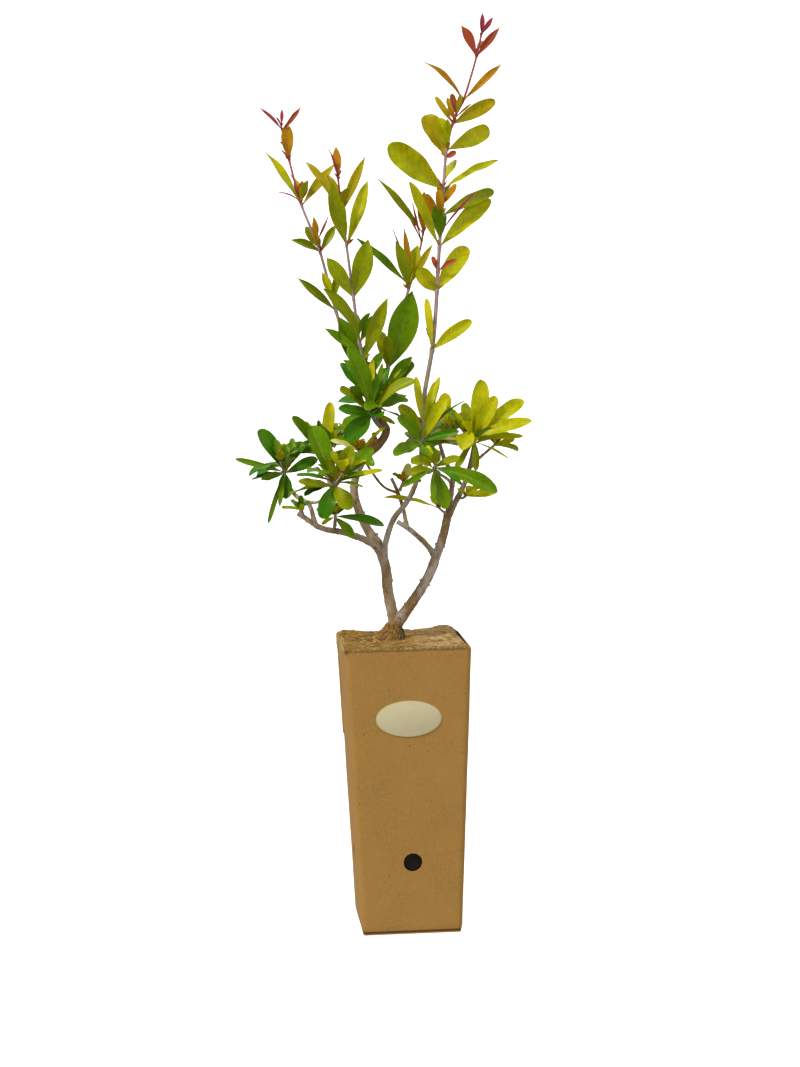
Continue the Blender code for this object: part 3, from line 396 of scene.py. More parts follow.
class PlantColours(bpy.types.PropertyGroup):
    """Colours of leaves, stems and bark."""

    __annotations__ = colour_settings(
        # deep and sunlit are painted shade and painted light: darker and paler copies of the leaves' green
        ("deep", "Old leaves in shade", "#468404"),
        ("leaf", "Full-grown leaves", "#6F9802"),
        ("fresh", "Younger full-size leaves", "#97A302"),
        ("lime", "Young leaves on the long shoots", "#C9CA03"),
        ("sunlit", "Pale yellow-green leaves", "#CECD04"),
        ("yellow", "Leaves that turn yellow", "#D8D218"),
        ("straw", "A dry pinkish leaf", "#FFF08C"),
        ("olive", "Half-grown leaves", "#B9A708"),
        ("bronze", "New leaves", "#C88E0E"),
        ("russet", "The newest small leaves", "#BA5235"),
        ("crimson", "Leaves at the tips", "#B24051"),
        ("midrib", "Midribs of green leaves", "#A9BE52"),
        ("red_midrib", "Midribs of new leaves", "#9A4434"),
        ("old_bark", "Grey-brown bark", "#C6AE8F"),
        ("silver_bark", "Smoother, greyer bark", "#C6B7A6"),
        ("warm_bark", "Brown stains on the bark", "#A08050"),
        ("dark_bark", "The dark of cracks and scars", "#665036"),
        ("crook_bark", "The browner bark of the crook", "#9E7C56"),
        ("cut_wood", "Old pruning cuts", "#6E4A30"),
        ("green_stem", "The foot of a long shoot", "#AE9E86"),
        ("mauve_stem", "The middle of a long shoot", "#C8A4A0"),
        ("red_stem", "The tip of a long shoot", "#C05A5A"),
        ("bud", "Buds and their scales", "#8E3F2A"),
    )


class PotColours(bpy.types.PropertyGroup):
    """Colours of the carton, its label and its filling."""

    __annotations__ = colour_settings(
        ("board", "Recycled board", "#C08F44"),
        ("board_dark", "Dark specks in the board", "#7A5628"),
        ("board_light", "Pale flecks in the board", "#D6B682"),
        # Partly the board's cut edge, partly painted shadow: the dark line under the sleeve's foot
        ("board_edge", "The darker cut edge at the base", "#86602E"),
        ("label", "Cream paper", "#F0E1B3"),
        ("label_rim", "The deeper border of the label", "#E3D796"),
        ("liner", "Black moulded plastic", "#18120A"),
        ("compost", "Damp compost", "#2A1C12"),
        ("coir", "Dry coir fibre", "#C0994B"),
        ("coir_pale", "Bleached coir fibre", "#F2D49E"),
        # The fibres' own darker tone, and also painted shade where loose fibres crowd the hollow at the left
        # of the mat
        ("coir_dark", "Coir fibre in the mat's gaps", "#806030"),
        ("coir_orange", "Coir fibre round the stem", "#905820"),
        ("moss", "Dry moss in the gap by the stem", "#8A8452"),
    )


def add(tree, kind, inputs, **settings):
    """Add a node: its settings, then for each input a value or the output that feeds it."""
    node = tree.nodes.new("ShaderNode" + kind)
    for name, value in settings.items():
        setattr(node, name, value)
    for name, value in inputs.items():
        if isinstance(value, bpy.types.NodeSocket):
            tree.links.new(value, node.inputs[name])
        else:
            node.inputs[name].default_value = value
    return node


def per(millimetres):
    """A pattern's scale for one repeat in so many millimetres."""
    return 1.0 / (millimetres * MM)


def shade(colour, share):
    """A colour made darker or lighter, with its alpha."""
    return (*(min(1.0, part * share) for part in colour), 1.0)


def start_material(name, colour, roughness, specular=0.5):
    """A Principled material: the material, its node tree, its shader and its object coordinates."""
    made = bpy.data.materials.new(name)
    made.use_nodes = True
    tree = made.node_tree
    shader = tree.nodes["Principled BSDF"]
    shader.inputs["Base Color"].default_value = (*colour, 1.0)
    shader.inputs["Roughness"].default_value = roughness
    shader.inputs["Specular IOR Level"].default_value = specular
    made.diffuse_color = (*colour, 1.0)
    place = add(tree, "TexCoord", {}).outputs["Object"]
    return made, tree, shader, place


def pattern(tree, place, size, low, high, stretch=(1, 1, 1), detail=3.0, shift=(0, 0, 0)):
    """A cloudy pattern of one size in mm, from 0 below low to 1 above high."""
    spread = add(tree, "Mapping", {"Vector": place, "Location": shift, "Scale": stretch})
    cloud = add(tree, "TexNoise", {"Vector": spread.outputs[0], "Scale": per(size), "Detail": detail})
    limits = {"Value": cloud.outputs[0], "From Min": low, "From Max": high}
    return add(tree, "MapRange", limits).outputs[0]


def mottled(name, colour, roughness, specular, ground, layers, relief=None, depth=0.0, strength=1.0):
    """A material with a ground shade, patches laid over it one by one, and a relief.

    Each layer is a size in mm, two limits, a tone, and the pattern's stretch, detail and shift. A tone
    is a share of the material's colour or a colour of its own. The relief is a pattern without a tone,
    and its depth is in metres.
    """
    made, tree, shader, place = start_material(name, colour, roughness, specular)
    tone = shade(colour, ground)
    for size, low, high, tint, *form in layers:
        tint = shade(colour, tint) if isinstance(tint, float) else shade(tint, 1.0)
        share = pattern(tree, place, size, low, high, *form)
        tone = add(tree, "Mix", {0: share, 6: tone, 7: tint}, data_type="RGBA").outputs[2]
    tree.links.new(tone, shader.inputs["Base Color"])
    if relief:
        height = pattern(tree, place, *relief)
        bump = add(tree, "Bump", {"Height": height, "Distance": depth, "Strength": strength})
        tree.links.new(bump.outputs[0], shader.inputs["Normal"])
    return made


def recycled_board(name, colours, colour):
    """Recycled kraft board, pressed from pulp: matt and mottled, with stray dark and pale fibres."""
    return mottled(name, colour, roughness=0.66, specular=0.45, ground=0.93, layers=(
        (26, 0.35, 0.65, 1.05),
        (1.4, 0.38, 0.70, 1.15, (1, 1, 0.8), 4.0),
        (1.7, 0.715, 0.765, colours.board_dark, (1, 1, 0.75), 2.0),
        (1.8, 0.685, 0.780, colours.board_light, (0.8, 1, 1.2), 2.0, (0.248, 0.17, 0.636)),
    ), relief=(1.4, 0.38, 0.70, (1, 1, 0.8), 4.0), depth=0.00006, strength=0.6)


def coated_paper(name, colour):
    """Coated label paper: smooth and a little glossy, with a barely uneven ground."""
    return mottled(name, colour, roughness=0.48, specular=0.4, ground=0.985, layers=((7, 0.3, 0.7, 1.02),),
                   relief=(0.8, 0.3, 0.7), depth=0.00002, strength=0.3)


def moulded_polypropylene(name, colour):
    """Thin black polypropylene, vacuum-formed: a soft sheen with dust in its texture."""
    return mottled(name, colour, roughness=0.5, specular=0.3, ground=1.0, layers=((2.5, 0.5, 0.8, 3.2),),
                   relief=(0.9, 0.3, 0.7), depth=0.00005, strength=0.5)


def damp_compost(name, colour):
    """Coir and bark compost, damp: dark crumbs with a few paler fibres."""
    return mottled(name, colour, roughness=0.95, specular=0.25, ground=0.5,
                   layers=((2.2, 0.35, 0.65, 1.9, (1, 1, 1), 5.0),),
                   relief=(2.2, 0.35, 0.65, (1, 1, 1), 5.0), depth=0.0006)


def coconut_fibre(name, colour):
    """Retted coconut husk fibre: dull, wiry, paler and darker by strand."""
    return mottled(name, colour, roughness=0.9, specular=0.25, ground=0.70,
                   layers=((1.3, 0.3, 0.7, 1.22), (9, 0.35, 0.65, 1.04)),
                   relief=(0.5, 0.3, 0.7), depth=0.00012, strength=0.7)


def dry_moss(name, colour):
    """Dry cushion moss: grey-green, rough and without any shine."""
    return mottled(name, colour, roughness=1.0, specular=0.1, ground=0.6, layers=((0.8, 0.3, 0.7, 1.3),))


def young_bark(name, colour, crack, warm):
    """Bark of a few years: dull grey with brown stains, finely cracked along the limb, corky and pitted."""
    return mottled(name, colour, roughness=0.84, specular=0.3, ground=0.62, layers=(
        (1.5, 0.3, 0.7, 1.2, (1, 1, 0.3), 5.0),
        (9, 0.4, 0.62, 1.16, (1, 1, 0.6)),
        (15, 0.45, 0.60, warm, (1, 1, 0.5)),
        (2.3, 0.60, 0.72, crack, (1, 1, 0.45), 4.0),
        (1.1, 0.66, 0.74, 1.35, (1, 1, 1.5), 1.0),
        (1.9, 0.68, 0.74, shade(crack, 0.6)[:3], (1, 1, 0.7), 1.0),
    ), relief=(1.5, 0.3, 0.7, (1, 1, 0.3), 5.0), depth=0.00025, strength=0.9)


def cut_heartwood(name, colour):
    """An old pruning cut: brown and dull, checked by drying."""
    return mottled(name, colour, roughness=0.9, specular=0.2, ground=0.6, layers=((0.9, 0.4, 0.65, 1.25),),
                   relief=(0.9, 0.4, 0.65), depth=0.0002)


def green_wood(name, colour):
    """The skin of a new shoot: thin, smooth and slightly waxy, streaked along its length."""
    return mottled(name, colour, roughness=0.5, specular=0.4, ground=0.82,
                   layers=((1.2, 0.35, 0.65, 1.14, (1, 1, 0.15)),),
                   relief=(1.2, 0.35, 0.65, (1, 1, 0.15)), depth=0.00005, strength=0.5)


def waxy_leaf(name, colour, vein_colour):
    """A leaf under its waxy skin: satin to glossy, with yellower patches, darker patches of painted shade and
    fine side veins.
    """
    made = mottled(name, colour, roughness=0.36, specular=0.25, ground=0.88, layers=(
        (5.5, 0.3, 0.7, 1.11),
        (13, 0.46, 0.66, (1.24 * colour[0], 1.10 * colour[1], colour[2]), (1, 1, 1), 2.0),
        # Darker patches: painted shade over the leaf
        (3.4, 0.52, 0.74, 0.84, (1, 1, 0.8), 2.0),
    ))
    tree = made.node_tree
    shader = tree.nodes["Principled BSDF"]
    shader.inputs["Specular Tint"].default_value = (1.0, 1.0, 0.4, 1.0)
    across = add(tree, "SeparateXYZ", {0: add(tree, "TexCoord", {}).outputs["UV"]})
    side = add(tree, "Math", {0: across.outputs[1], 1: 0.5}, operation="SUBTRACT")
    side = add(tree, "Math", {0: side.outputs[0]}, operation="ABSOLUTE")
    slant = add(tree, "Math", {0: side.outputs[0], 1: -2.6}, operation="MULTIPLY")
    along = add(tree, "Math", {0: across.outputs[0], 1: 9.0, 2: slant.outputs[0]}, operation="MULTIPLY_ADD")
    comb = add(tree, "Math", {0: along.outputs[0], 1: 0.5}, operation="PINGPONG")
    vein = add(tree, "MapRange", {"Value": comb.outputs[0], "From Min": 0.075, "From Max": 0.015})
    faint = add(tree, "Math", {0: vein.outputs[0], 1: 0.5}, operation="MULTIPLY")
    tone = shader.inputs["Base Color"].links[0].from_socket
    veined = add(tree, "Mix", {0: faint.outputs[0], 6: tone, 7: (*vein_colour, 1.0)}, data_type="RGBA")
    tree.links.new(veined.outputs[2], shader.inputs["Base Color"])
    lowered = add(tree, "Math", {0: 1.0, 1: vein.outputs[0]}, operation="SUBTRACT")
    bump = add(tree, "Bump", {"Height": lowered.outputs[0], "Distance": 0.00006, "Strength": 0.6})
    tree.links.new(bump.outputs[0], shader.inputs["Normal"])
    return made


class Shape:
    """Corners and faces gathered for one piece, and for each corner its place on its leaf."""

    def __init__(self, *body):
        self.corners = []
        self.faces = []
        self.places = []
        if body:
            self.add(*body)

    def add(self, corners, faces, places=None):
        """Take in one more closed body."""
        start = len(self.corners)
        self.corners.extend(corners)
        self.faces.extend(tuple(start + index for index in face) for face in faces)
        self.places.extend(places or [(0.5, 0.5)] * len(corners))

    def piece(self, name, material, slot, replaced=(), sharp=60):
        """Make the piece, smooth but for sharp edges, on the plant's one body and in place of CAD nodes."""
        mesh = bpy.data.meshes.new(name)
        mesh.from_pydata(self.corners, [], self.faces)
        mesh.validate()
        grid = mesh.uv_layers.new(name="leaf")
        for loop in mesh.loops:
            grid.data[loop.index].uv = self.places[loop.vertex_index]
        mesh.shade_smooth()
        mesh.set_sharp_from_angle(angle=math.radians(sharp))
        mesh.materials.append(material)
        made = put_in_scene(name, mesh)
        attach(made, "root")
        if replaced:
            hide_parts(*replaced)
        return made


def smooth_path(points, step):
    """Points on a smooth curve through a few given ones (in mm), about a step apart (in metres)."""
    given = [Vector(point) * MM for point in points]
    ends = [2 * given[0] - given[1], *given, 2 * given[-1] - given[-2]]
    path = []
    for before, start, end, after in zip(ends, ends[1:], ends[2:], ends[3:]):
        count = max(1, round((end - start).length / step))
        for index in range(count):
            t = index / count
            path.append(0.5 * (2 * start + (end - before) * t
                               + (2 * before - 5 * start + 4 * end - after) * t ** 2
                               + (3 * start - before - 3 * end + after) * t ** 3))
    path.append(given[-1])
    return path


def travelled(path):
    """How far along a path each of its points lies, from 0 to 1, and the path's length."""
    lengths = [0.0]
    for start, end in zip(path, path[1:]):
        lengths.append(lengths[-1] + (end - start).length)
    return [length / lengths[-1] for length in lengths], lengths[-1]


def directions(path):
    """The direction of a path at each of its points."""
    ends = [path[0], *path, path[-1]]
    return [(after - before).normalized() for before, after in zip(ends, ends[2:])]


def around(heading, rise):
    """A way outwards at a heading, and upwards by a rise."""
    return Vector((math.cos(heading), math.sin(heading), rise))


def any_way(rng):
    """A random vector with each part between -1 and 1."""
    return Vector((rng.uniform(-1, 1), rng.uniform(-1, 1), rng.uniform(-1, 1)))


def circle(count):
    """So many angles round a circle."""
    return [2 * math.pi * index / count for index in range(count)]


def put_in_scene(name, data):
    """A new object with its data, linked to the scene."""
    made = bpy.data.objects.new(name, data)
    bpy.context.scene.collection.objects.link(made)
    return made


def turning_frames(path):
    """Two directions across a path at each of its points, which don't spin along it."""
    aims = directions(path)
    side = aims[0].orthogonal().normalized()
    frames = []
    for aim in aims:
        side = (side - aim * side.dot(aim)).normalized()
        frames.append((side, aim.cross(side)))
    return frames


def lofted(rings, closed=True):
    """The skin through rings of equally many points: closed joins last to first, else the ends are capped."""
    size = len(rings[0])
    count = len(rings)
    corners = [point for ring in rings for point in ring]
    faces = []
    for low in range(count if closed else count - 1):
        start, above = low * size, (low + 1) % count * size
        for index in range(size):
            after = (index + 1) % size
            faces.append((start + index, start + after, above + after, above + index))
    if not closed:
        faces.append(tuple(range(size))[::-1])
        faces.append(tuple(range(len(corners) - size, len(corners))))
    return corners, faces


def tube(path, radii, sides, relief=None):
    """A closed tube; relief gives the height of its skin at a point."""
    rings = []
    for place, radius, (side, other) in zip(path, radii, turning_frames(path)):
        ring = []
        for angle in circle(sides):
            out = side * math.cos(angle) + other * math.sin(angle)
            height = relief(place + out * radius) if relief else 0.0
            ring.append(place + out * (radius + height))
        rings.append(ring)
    return lofted(rings, closed=False)


def rounded_end(path, radii, steps=4):
    """Close a tube in a low dome: more points past its end, on a quarter circle."""
    aim = (path[-1] - path[-2]).normalized()
    radius = radii[-1]
    for step in range(1, steps + 1):
        angle = 0.5 * math.pi * step / (steps + 0.35)
        path.append(path[-1] + aim * radius * 0.42 * (math.sin(angle) - math.sin(angle * (step - 1) / step)))
        radii.append(radius * math.cos(angle))
    return path, radii


def bent_frame(leaf):
    """The leaf's length along its bend, its direction at the foot, its upper side and its turn."""
    chord = leaf.reach.normalized()
    gaze = Vector((0, -leaf.front, 1 - abs(leaf.front)))
    upper = (gaze - chord * gaze.dot(chord)).normalized()
    side = chord.cross(upper)
    bend = math.hypot(leaf.droop, leaf.sweep)
    toward = (side * leaf.sweep - upper * leaf.droop) / bend
    axis = chord.cross(toward)
    start = Quaternion(axis, -bend / 2)
    length = leaf.reach.length * (bend / 2) / math.sin(bend / 2)
    return length, start @ chord, start @ upper, axis, bend


def blade_width(share, blunt):
    """How wide a leaf is along it, out of 1: blunt leaves widen towards a round tip."""
    if not blunt:
        return math.sin(math.pi * share ** 1.25) ** 0.95
    if share < WIDEST:
        return math.sin(math.pi / 2 * share / WIDEST) ** 1.15
    return math.sqrt(max(0.0, 1 - ((share - WIDEST) / (1 - WIDEST)) ** 2.5))


def leaf_line(leaf, share, frame_values):
    """The middle of a leaf at a share of its length, its upper side and its side there."""
    length, along, upper, axis, bend = frame_values
    turn = Quaternion(axis, bend * share)
    travel = math.sin(bend * share / 2) / (bend / 2) * length
    place = leaf.root + Quaternion(axis, bend * share / 2) @ along * travel
    out = turn @ upper
    return place, out, (turn @ along).cross(out)


def blade(leaf, sizes, rng):
    """A thin closed leaf: creased at its midrib, waved at its edge, on a round stalk."""
    values = bent_frame(leaf)
    length = values[0]
    stations, half_cells = (24, 5) if length > FULL_LEAF else (14, 3)
    crease = rng.uniform(0.15, 0.55) if leaf.blunt else rng.uniform(0.25, 0.65)
    waves = rng.uniform(1.2, 2.8)
    phase = rng.uniform(0, 2 * math.pi)
    ripple = rng.uniform(0.03, 0.11) * leaf.width
    twist = rng.uniform(-0.25, 0.25)
    corners, places = [], []
    cells = [index / half_cells for index in range(-half_cells, half_cells + 1)]
    loop = [(cell, 1) for cell in cells] + [(cell, -1) for cell in cells[-2:0:-1]]
    for index in range(stations):
        share = 0.5 - 0.5 * math.cos(math.pi * (index / stations) ** 0.92)
        place, out, side = leaf_line(leaf, share, values)
        spin = Quaternion(out.cross(side), twist * (share - 0.5))
        out, side = spin @ out, spin @ side
        stalk = sizes.stalk * (0.5 + 0.5 * min(1.0, length / 0.03))
        half = max(0.5 * leaf.width * blade_width(share, leaf.blunt), stalk)
        is_stalk = max(0.0, 1 - share / 0.10)
        for cell, face in loop:
            rise = crease * abs(cell) ** 1.2 * half * (1 - is_stalk)
            lag = 1.7 if cell > 0 else 0
            wave = ripple * math.sin(2 * math.pi * waves * share + phase + lag) * cell ** 2
            thick = sizes.edge_thick + (sizes.leaf_thick - sizes.edge_thick) * (1 - abs(cell)) ** 0.5
            thick = max(thick, 2 * stalk * is_stalk * math.sqrt(max(0.0, 1 - cell ** 2)))
            thick = 0.0 if abs(cell) == 1 else thick
            height = rise + wave * (1 - is_stalk) * min(1.0, 3 * share) + 0.5 * face * thick
            corners.append(place + side * half * cell + out * height)
            places.append((share, 0.5 + 0.5 * cell))
    corners.append(leaf.root + leaf.reach)
    places.append((1.0, 0.5))
    size = len(loop)
    faces = [tuple(range(size))]
    for ring in range(stations - 1):
        for index in range(size):
            after = (index + 1) % size
            start = ring * size
            faces.append((start + after, start + index, start + size + index, start + size + after))
    last = (stations - 1) * size
    faces += [(last + (index + 1) % size, last + index, last + size) for index in range(size)]
    line = []
    for index in range(12):
        share = 0.02 + 0.94 * index / 11
        place, out = leaf_line(leaf, share, values)[:2]
        line.append(place + out * 0.15 * sizes.leaf_thick)
    thick = sizes.midrib * (0.35 + 0.65 * min(1.0, length / 0.045))
    radii = [thick * (1.15 - 0.9 * index / 11) for index in range(12)]
    return corners, faces, places, tube(line, radii, 5)


def random_leaf(root, reach, front, blunt, rng):
    """A leaf with a foot, a straight reach to its tip, and a seeded width, droop and sideways sweep."""
    ratio = BLUNT_RATIO if blunt else POINTED_RATIO
    return SimpleNamespace(root=root, reach=reach, front=front, blunt=blunt,
                           width=reach.length * ratio * rng.uniform(0.85, 1.2),
                           droop=math.radians(rng.uniform(14, 42)), sweep=math.radians(rng.uniform(-12, 12)))


def at_height(path, height):
    """The point of a rising path at a height."""
    for start, end in zip(path, path[1:]):
        if end.z >= height:
            return start.lerp(end, (height - start.z) / (end.z - start.z))
    return path[-1].copy()


def near_tip(path, back):
    """The point a little way back from the end of a path."""
    return path[-1] + (path[-2] - path[-1]).normalized() * back


class Growth:
    """The leaves of one mass, by the rule of its solid; a leaf that the solid lacks is left out."""

    def __init__(self, name, mass):
        self.name = name
        self.mass = mass
        self.path = smooth_path(mass["stem"], TWIG_STEP)
        self.rng = random.Random(mass["seed"])
        self.leaves = []
        self.twigs = []
        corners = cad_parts[name].data.vertices
        self.tips = KDTree(len(corners))
        for index, corner in enumerate(corners):
            self.tips.insert(corner.co, index)
        self.tips.balance()

    def place(self, leaf, tone):
        """Keep a leaf as its solid has it: the first of the small turns whose tip is there."""
        aim = leaf.reach.copy()
        across = UP.cross(aim).normalized()
        for turn, tilt in TURNS_TRIED:
            lifted = Quaternion(across, -math.radians(tilt)) @ aim
            leaf.reach = Quaternion((0, 0, 1), math.radians(turn)) @ lifted
            if self.tips.find(leaf.root + leaf.reach)[2] < SAME_POINT:
                self.leaves.append((leaf, tone))
                return

    def given_leaf(self, root, reach, width, front, blunt, tone):
        """Place a leaf whose reach and width are given in mm."""
        leaf = random_leaf(root, Vector(reach) * MM, front, blunt, self.rng)
        leaf.width = width * MM
        self.place(leaf, tone)

    def grow_pairs(self):
        """The pairs of leaves up a long shoot, then the leaves round its foot."""
        rng, shoot = self.rng, self.mass
        for index, (height, *pair) in enumerate(shoot["pairs"]):
            root = at_height(self.path, height * MM)
            depth = rng.uniform(0.25, 0.6) * (1 if index % 2 else -1)
            blunt = self.name == "leader_shoot" and height < POINTED_ABOVE
            for side, (across, up, width), tone in ((1, pair[:3], pair[6]), (-1, pair[3:6], pair[7])):
                away = side * depth * max(abs(across), 0.3 * math.hypot(across, up))
                front = shoot["front"] + rng.uniform(-0.3, 0.2)
                self.given_leaf(root, (across, away, up), width, front, blunt, tone)
        for (*reach, width), tone in zip(shoot.get("foot_leaves", ()), shoot.get("foot_tones", "").split()):
            root = at_height(self.path, self.path[0].z + rng.uniform(10, 16) * MM)
            self.given_leaf(root, reach, width, rng.uniform(0.3, 0.8), True, tone)

    def fill_shoot(self):
        """Smaller leaves at a shoot's nodes, a quarter turn from the pair there, mostly to the back."""
        rng = self.rng
        tones = self.mass["filling_tones"].split()
        top = self.mass["pairs"][-1][0]
        for row, pair in enumerate(self.mass["pairs"]):
            height, left, left_up, left_wide, right, right_up, right_wide = pair[:7]
            length = max(math.hypot(left, left_up), math.hypot(right, right_up))
            for start in (90, 270):
                heading = math.radians(start + rng.uniform(-40, 40))
                reach = around(heading, rng.uniform(0.6, 1.6))
                reach *= rng.uniform(0.42, 0.66) * length * MM / reach.length
                lifted = at_height(self.path, (height + rng.uniform(2, 5)) * MM)
                leaf = random_leaf(lifted, reach, rng.uniform(-0.5, 0.3), False, rng)
                if max(left_wide, right_wide) > 6 and rng.random() < (0.9 if start == 90 else 0.35):
                    self.place(leaf, tones[row % len(tones)] if height < 0.82 * top else pair[7])

    def grow_leading(self):
        """The leaves of a rosette that stand out most."""
        for (*reach, width), tone in zip(self.mass["leading"], self.mass["tones"].split()):
            root = near_tip(self.path, self.rng.uniform(0.5, 4.5) * MM)
            self.given_leaf(root, reach, width, self.rng.uniform(0.35, 0.85), True, tone)

    def whorl(self, path, count, longest):
        """Leaves spiralling up the end of a twig by the golden angle, the lowest longest and flattest."""
        rng = self.rng
        tones = self.mass["rule_tones"].split()
        turn = rng.uniform(0, 360)
        for index in range(count):
            share = index / max(count - 1, 1)
            heading = math.radians(turn + index * GOLDEN_ANGLE)
            climb = math.radians(WHORL_LOWEST + WHORL_RISE * share + rng.uniform(-10, 10))
            length = longest * (1 - WHORL_TAPER * share) * rng.uniform(0.82, 1.08) * MM
            reach = Vector((math.cos(heading) * math.cos(climb), math.sin(heading) * math.cos(climb),
                            math.sin(climb))) * length
            root = near_tip(path, 5 * MM * (1 - share))
            leaf = random_leaf(root, reach, rng.uniform(-0.1, 0.6), True, rng)
            self.place(leaf, tones[index % len(tones)])

    def fill_rosette(self):
        """The side twigs of a rosette and its whorls of leaves."""
        rng, rosette = self.rng, self.mass
        start = rng.uniform(0, 360)
        share = rosette["count"] // 3
        for index in range(rosette["twigs"]):
            heading = math.radians(start + 180 * index + rng.uniform(-25, 25))
            aim = around(heading, 0.75).normalized()
            foot = near_tip(self.path, 3 * MM)
            lift = Vector((0, 0, SIDE_TWIG / 6))
            twig = [foot, foot + aim * SIDE_TWIG * MM / 2, foot + (aim * SIDE_TWIG + lift) * MM]
            self.twigs.append(twig)
            self.whorl(twig, share, 0.85 * rosette["longest"])
        self.whorl(self.path, rosette["count"] - rosette["twigs"] * share, rosette["longest"])

    def small_leaf(self, root, aim, length, tone, blunt, rng):
        """One of the finer new leaves that the solids don't have."""
        leaf = random_leaf(root, aim.normalized() * length * MM, rng.uniform(0.0, 0.8), blunt, rng)
        self.leaves.append((leaf, tone))


def grown_masses():
    """Every long shoot and rosette with its leaves."""
    masses = []
    for name, mass in {**SHOOTS, **ROSETTES}.items():
        growth = Growth(name, mass)
        if name in SHOOTS:
            growth.grow_pairs()
            growth.fill_shoot()
        else:
            growth.grow_leading()
            growth.fill_rosette()
        masses.append(growth)
    return masses


def add_new_leaves(growth, sizes):
    """Small new leaves: in the axils of a shoot's pairs, or in the heart of a rosette."""
    rng = random.Random(growth.mass["seed"] + 1000)
    if growth.name in SHOOTS:
        for height, *pair in growth.mass["pairs"]:
            if max(pair[2], pair[5]) < 6:
                continue
            root = at_height(growth.path, height * MM)
            tone = rng.choice(("bronze", "russet", "olive") if height > 500 else ("fresh", "lime", "olive"))
            for index in range(sizes.axil_leaves):
                aim = around(rng.uniform(0, 2 * math.pi), rng.uniform(0.8, 2.2))
                growth.small_leaf(root, aim, rng.uniform(4, 9), tone, False, rng)
        return
    for end in (growth.path, *growth.twigs):
        for index in range(sizes.heart_leaves):
            aim = around(math.radians(index * GOLDEN_ANGLE + rng.uniform(-20, 20)), rng.uniform(0.7, 2.4))
            tone = rng.choice(growth.mass["rule_tones"].split())
            if index % 3 == 2:
                tone = rng.choice(("bronze", "olive", "lime"))
            growth.small_leaf(near_tip(end, rng.uniform(0, 2) * MM), aim, rng.uniform(6, 13), tone, True, rng)


class POMEGRANATE_OT_leaves(bpy.types.Operator):
    """Grow every leaf by the rule of the solids, then the finer new leaves, and join them by tone"""

    bl_idname = "pomegranate.leaves"
    bl_label = "Leaves"

    def execute(self, context):
        sizes, colours = context.scene.plant_sizes, context.scene.plant_colours
        tones = {tone: Shape() for tone in TONES}
        ribs = {"midrib": Shape(), "red_midrib": Shape()}
        for growth in grown_masses():
            add_new_leaves(growth, sizes)
            rng = random.Random(growth.mass["seed"] + 2000)
            for leaf, tone in growth.leaves:
                corners, faces, places, rib = blade(leaf, sizes, rng)
                tones[tone].add(corners, faces, places)
                ribs["red_midrib" if tone in REDDISH else "midrib"].add(*rib)
        for tone, shape in tones.items():
            colour = getattr(colours, tone)
            vein = getattr(colours, VEINS[tone]) if tone in VEINS else [1.3 * part + 0.03 for part in colour]
            shape.piece("leaves_" + tone, waxy_leaf("waxy_leaf_" + tone, colour, vein), "foliage", sharp=80)
        for name, shape in ribs.items():
            shape.piece(name + "s", green_wood("leaf_" + name, getattr(colours, name)), "foliage")
        return {"FINISHED"}


def stem_radii(growth):
    """The fine path of a stem and its radii: a skin over the solid, swollen at each pair of leaves."""
    foot, tip = growth.mass["radius"]
    path = smooth_path(growth.mass["stem"], STEM_STEP)
    radii = [(foot + (tip - foot) * share) * STEM_SKIN * MM for share in travelled(path)[0]]
    for row in growth.mass.get("pairs", ()):
        for index, place in enumerate(path):
            radii[index] *= 1 + NODE_SWELL * math.exp(-((place.z - row[0] * MM) / NODE_REACH) ** 2)
    return path, radii


class POMEGRANATE_OT_shoots(bpy.types.Operator):
    """Make the stems of the long shoots and rosettes, pale at the foot and red at the tip, and the buds"""

    bl_idname = "pomegranate.shoots"
    bl_label = "Shoots and buds"

    def execute(self, context):
        colours = context.scene.plant_colours
        stretches = {"green_stem": Shape(), "mauve_stem": Shape(), "red_stem": Shape()}
        buds = Shape()
        rng = random.Random(77)
        for growth in grown_masses():
            path, radii = stem_radii(growth)
            if growth.name in SHOOTS:
                cuts = (0, *(round(share * len(path)) for share in STEM_CHANGES), len(path))
                for shape, start, end in zip(stretches.values(), cuts, cuts[1:]):
                    stretch, widths = path[max(0, start - 1):end], radii[max(0, start - 1):end]
                    if end == len(path):
                        stretch, widths = rounded_end(stretch, widths)
                    shape.add(*tube(stretch, widths, STEM_SIDES))
                for row in growth.mass["pairs"]:
                    self.add_scales(buds, at_height(growth.path, row[0] * MM), 3, rng)
                continue
            stretches["green_stem"].add(*tube(*rounded_end(path, radii), 10))
            for twig in growth.twigs:
                line = smooth_path([point / MM for point in twig], TWIG_RING)
                widths = [growth.mass["radius"][1] * MM * (1 - 0.3 * index / len(line))
                          for index in range(len(line))]
                stretches["mauve_stem"].add(*tube(line, widths, 8))
            for end in (growth.path, *growth.twigs):
                self.add_scales(buds, end[-1], 9, rng)
        for name, shape in stretches.items():
            replaced = (*SHOOTS, *ROSETTES) if name == "green_stem" else ()
            skin = green_wood("skin_of_" + name, getattr(colours, name))
            shape.piece("shoot_" + name, skin, "foliage", replaced)
        buds.piece("bud_scales", green_wood("bud_scale", colours.bud), "foliage")
        return {"FINISHED"}

    def add_scales(self, shape, place, count, rng):
        """Pointed bud scales round a point, each a short tapering blade."""
        for index in range(count):
            heading = index * math.radians(GOLDEN_ANGLE) + rng.uniform(-0.3, 0.3)
            aim = around(heading, rng.uniform(0.7, 2.0)).normalized()
            length = rng.uniform(1.6, 3.4) * MM
            line = [place + aim * length * share for share in (0.0, 0.4, 0.75, 1.0)]
            shape.add(*tube(line, [0.75 * MM, 0.8 * MM, 0.5 * MM, 0.08 * MM], 6))


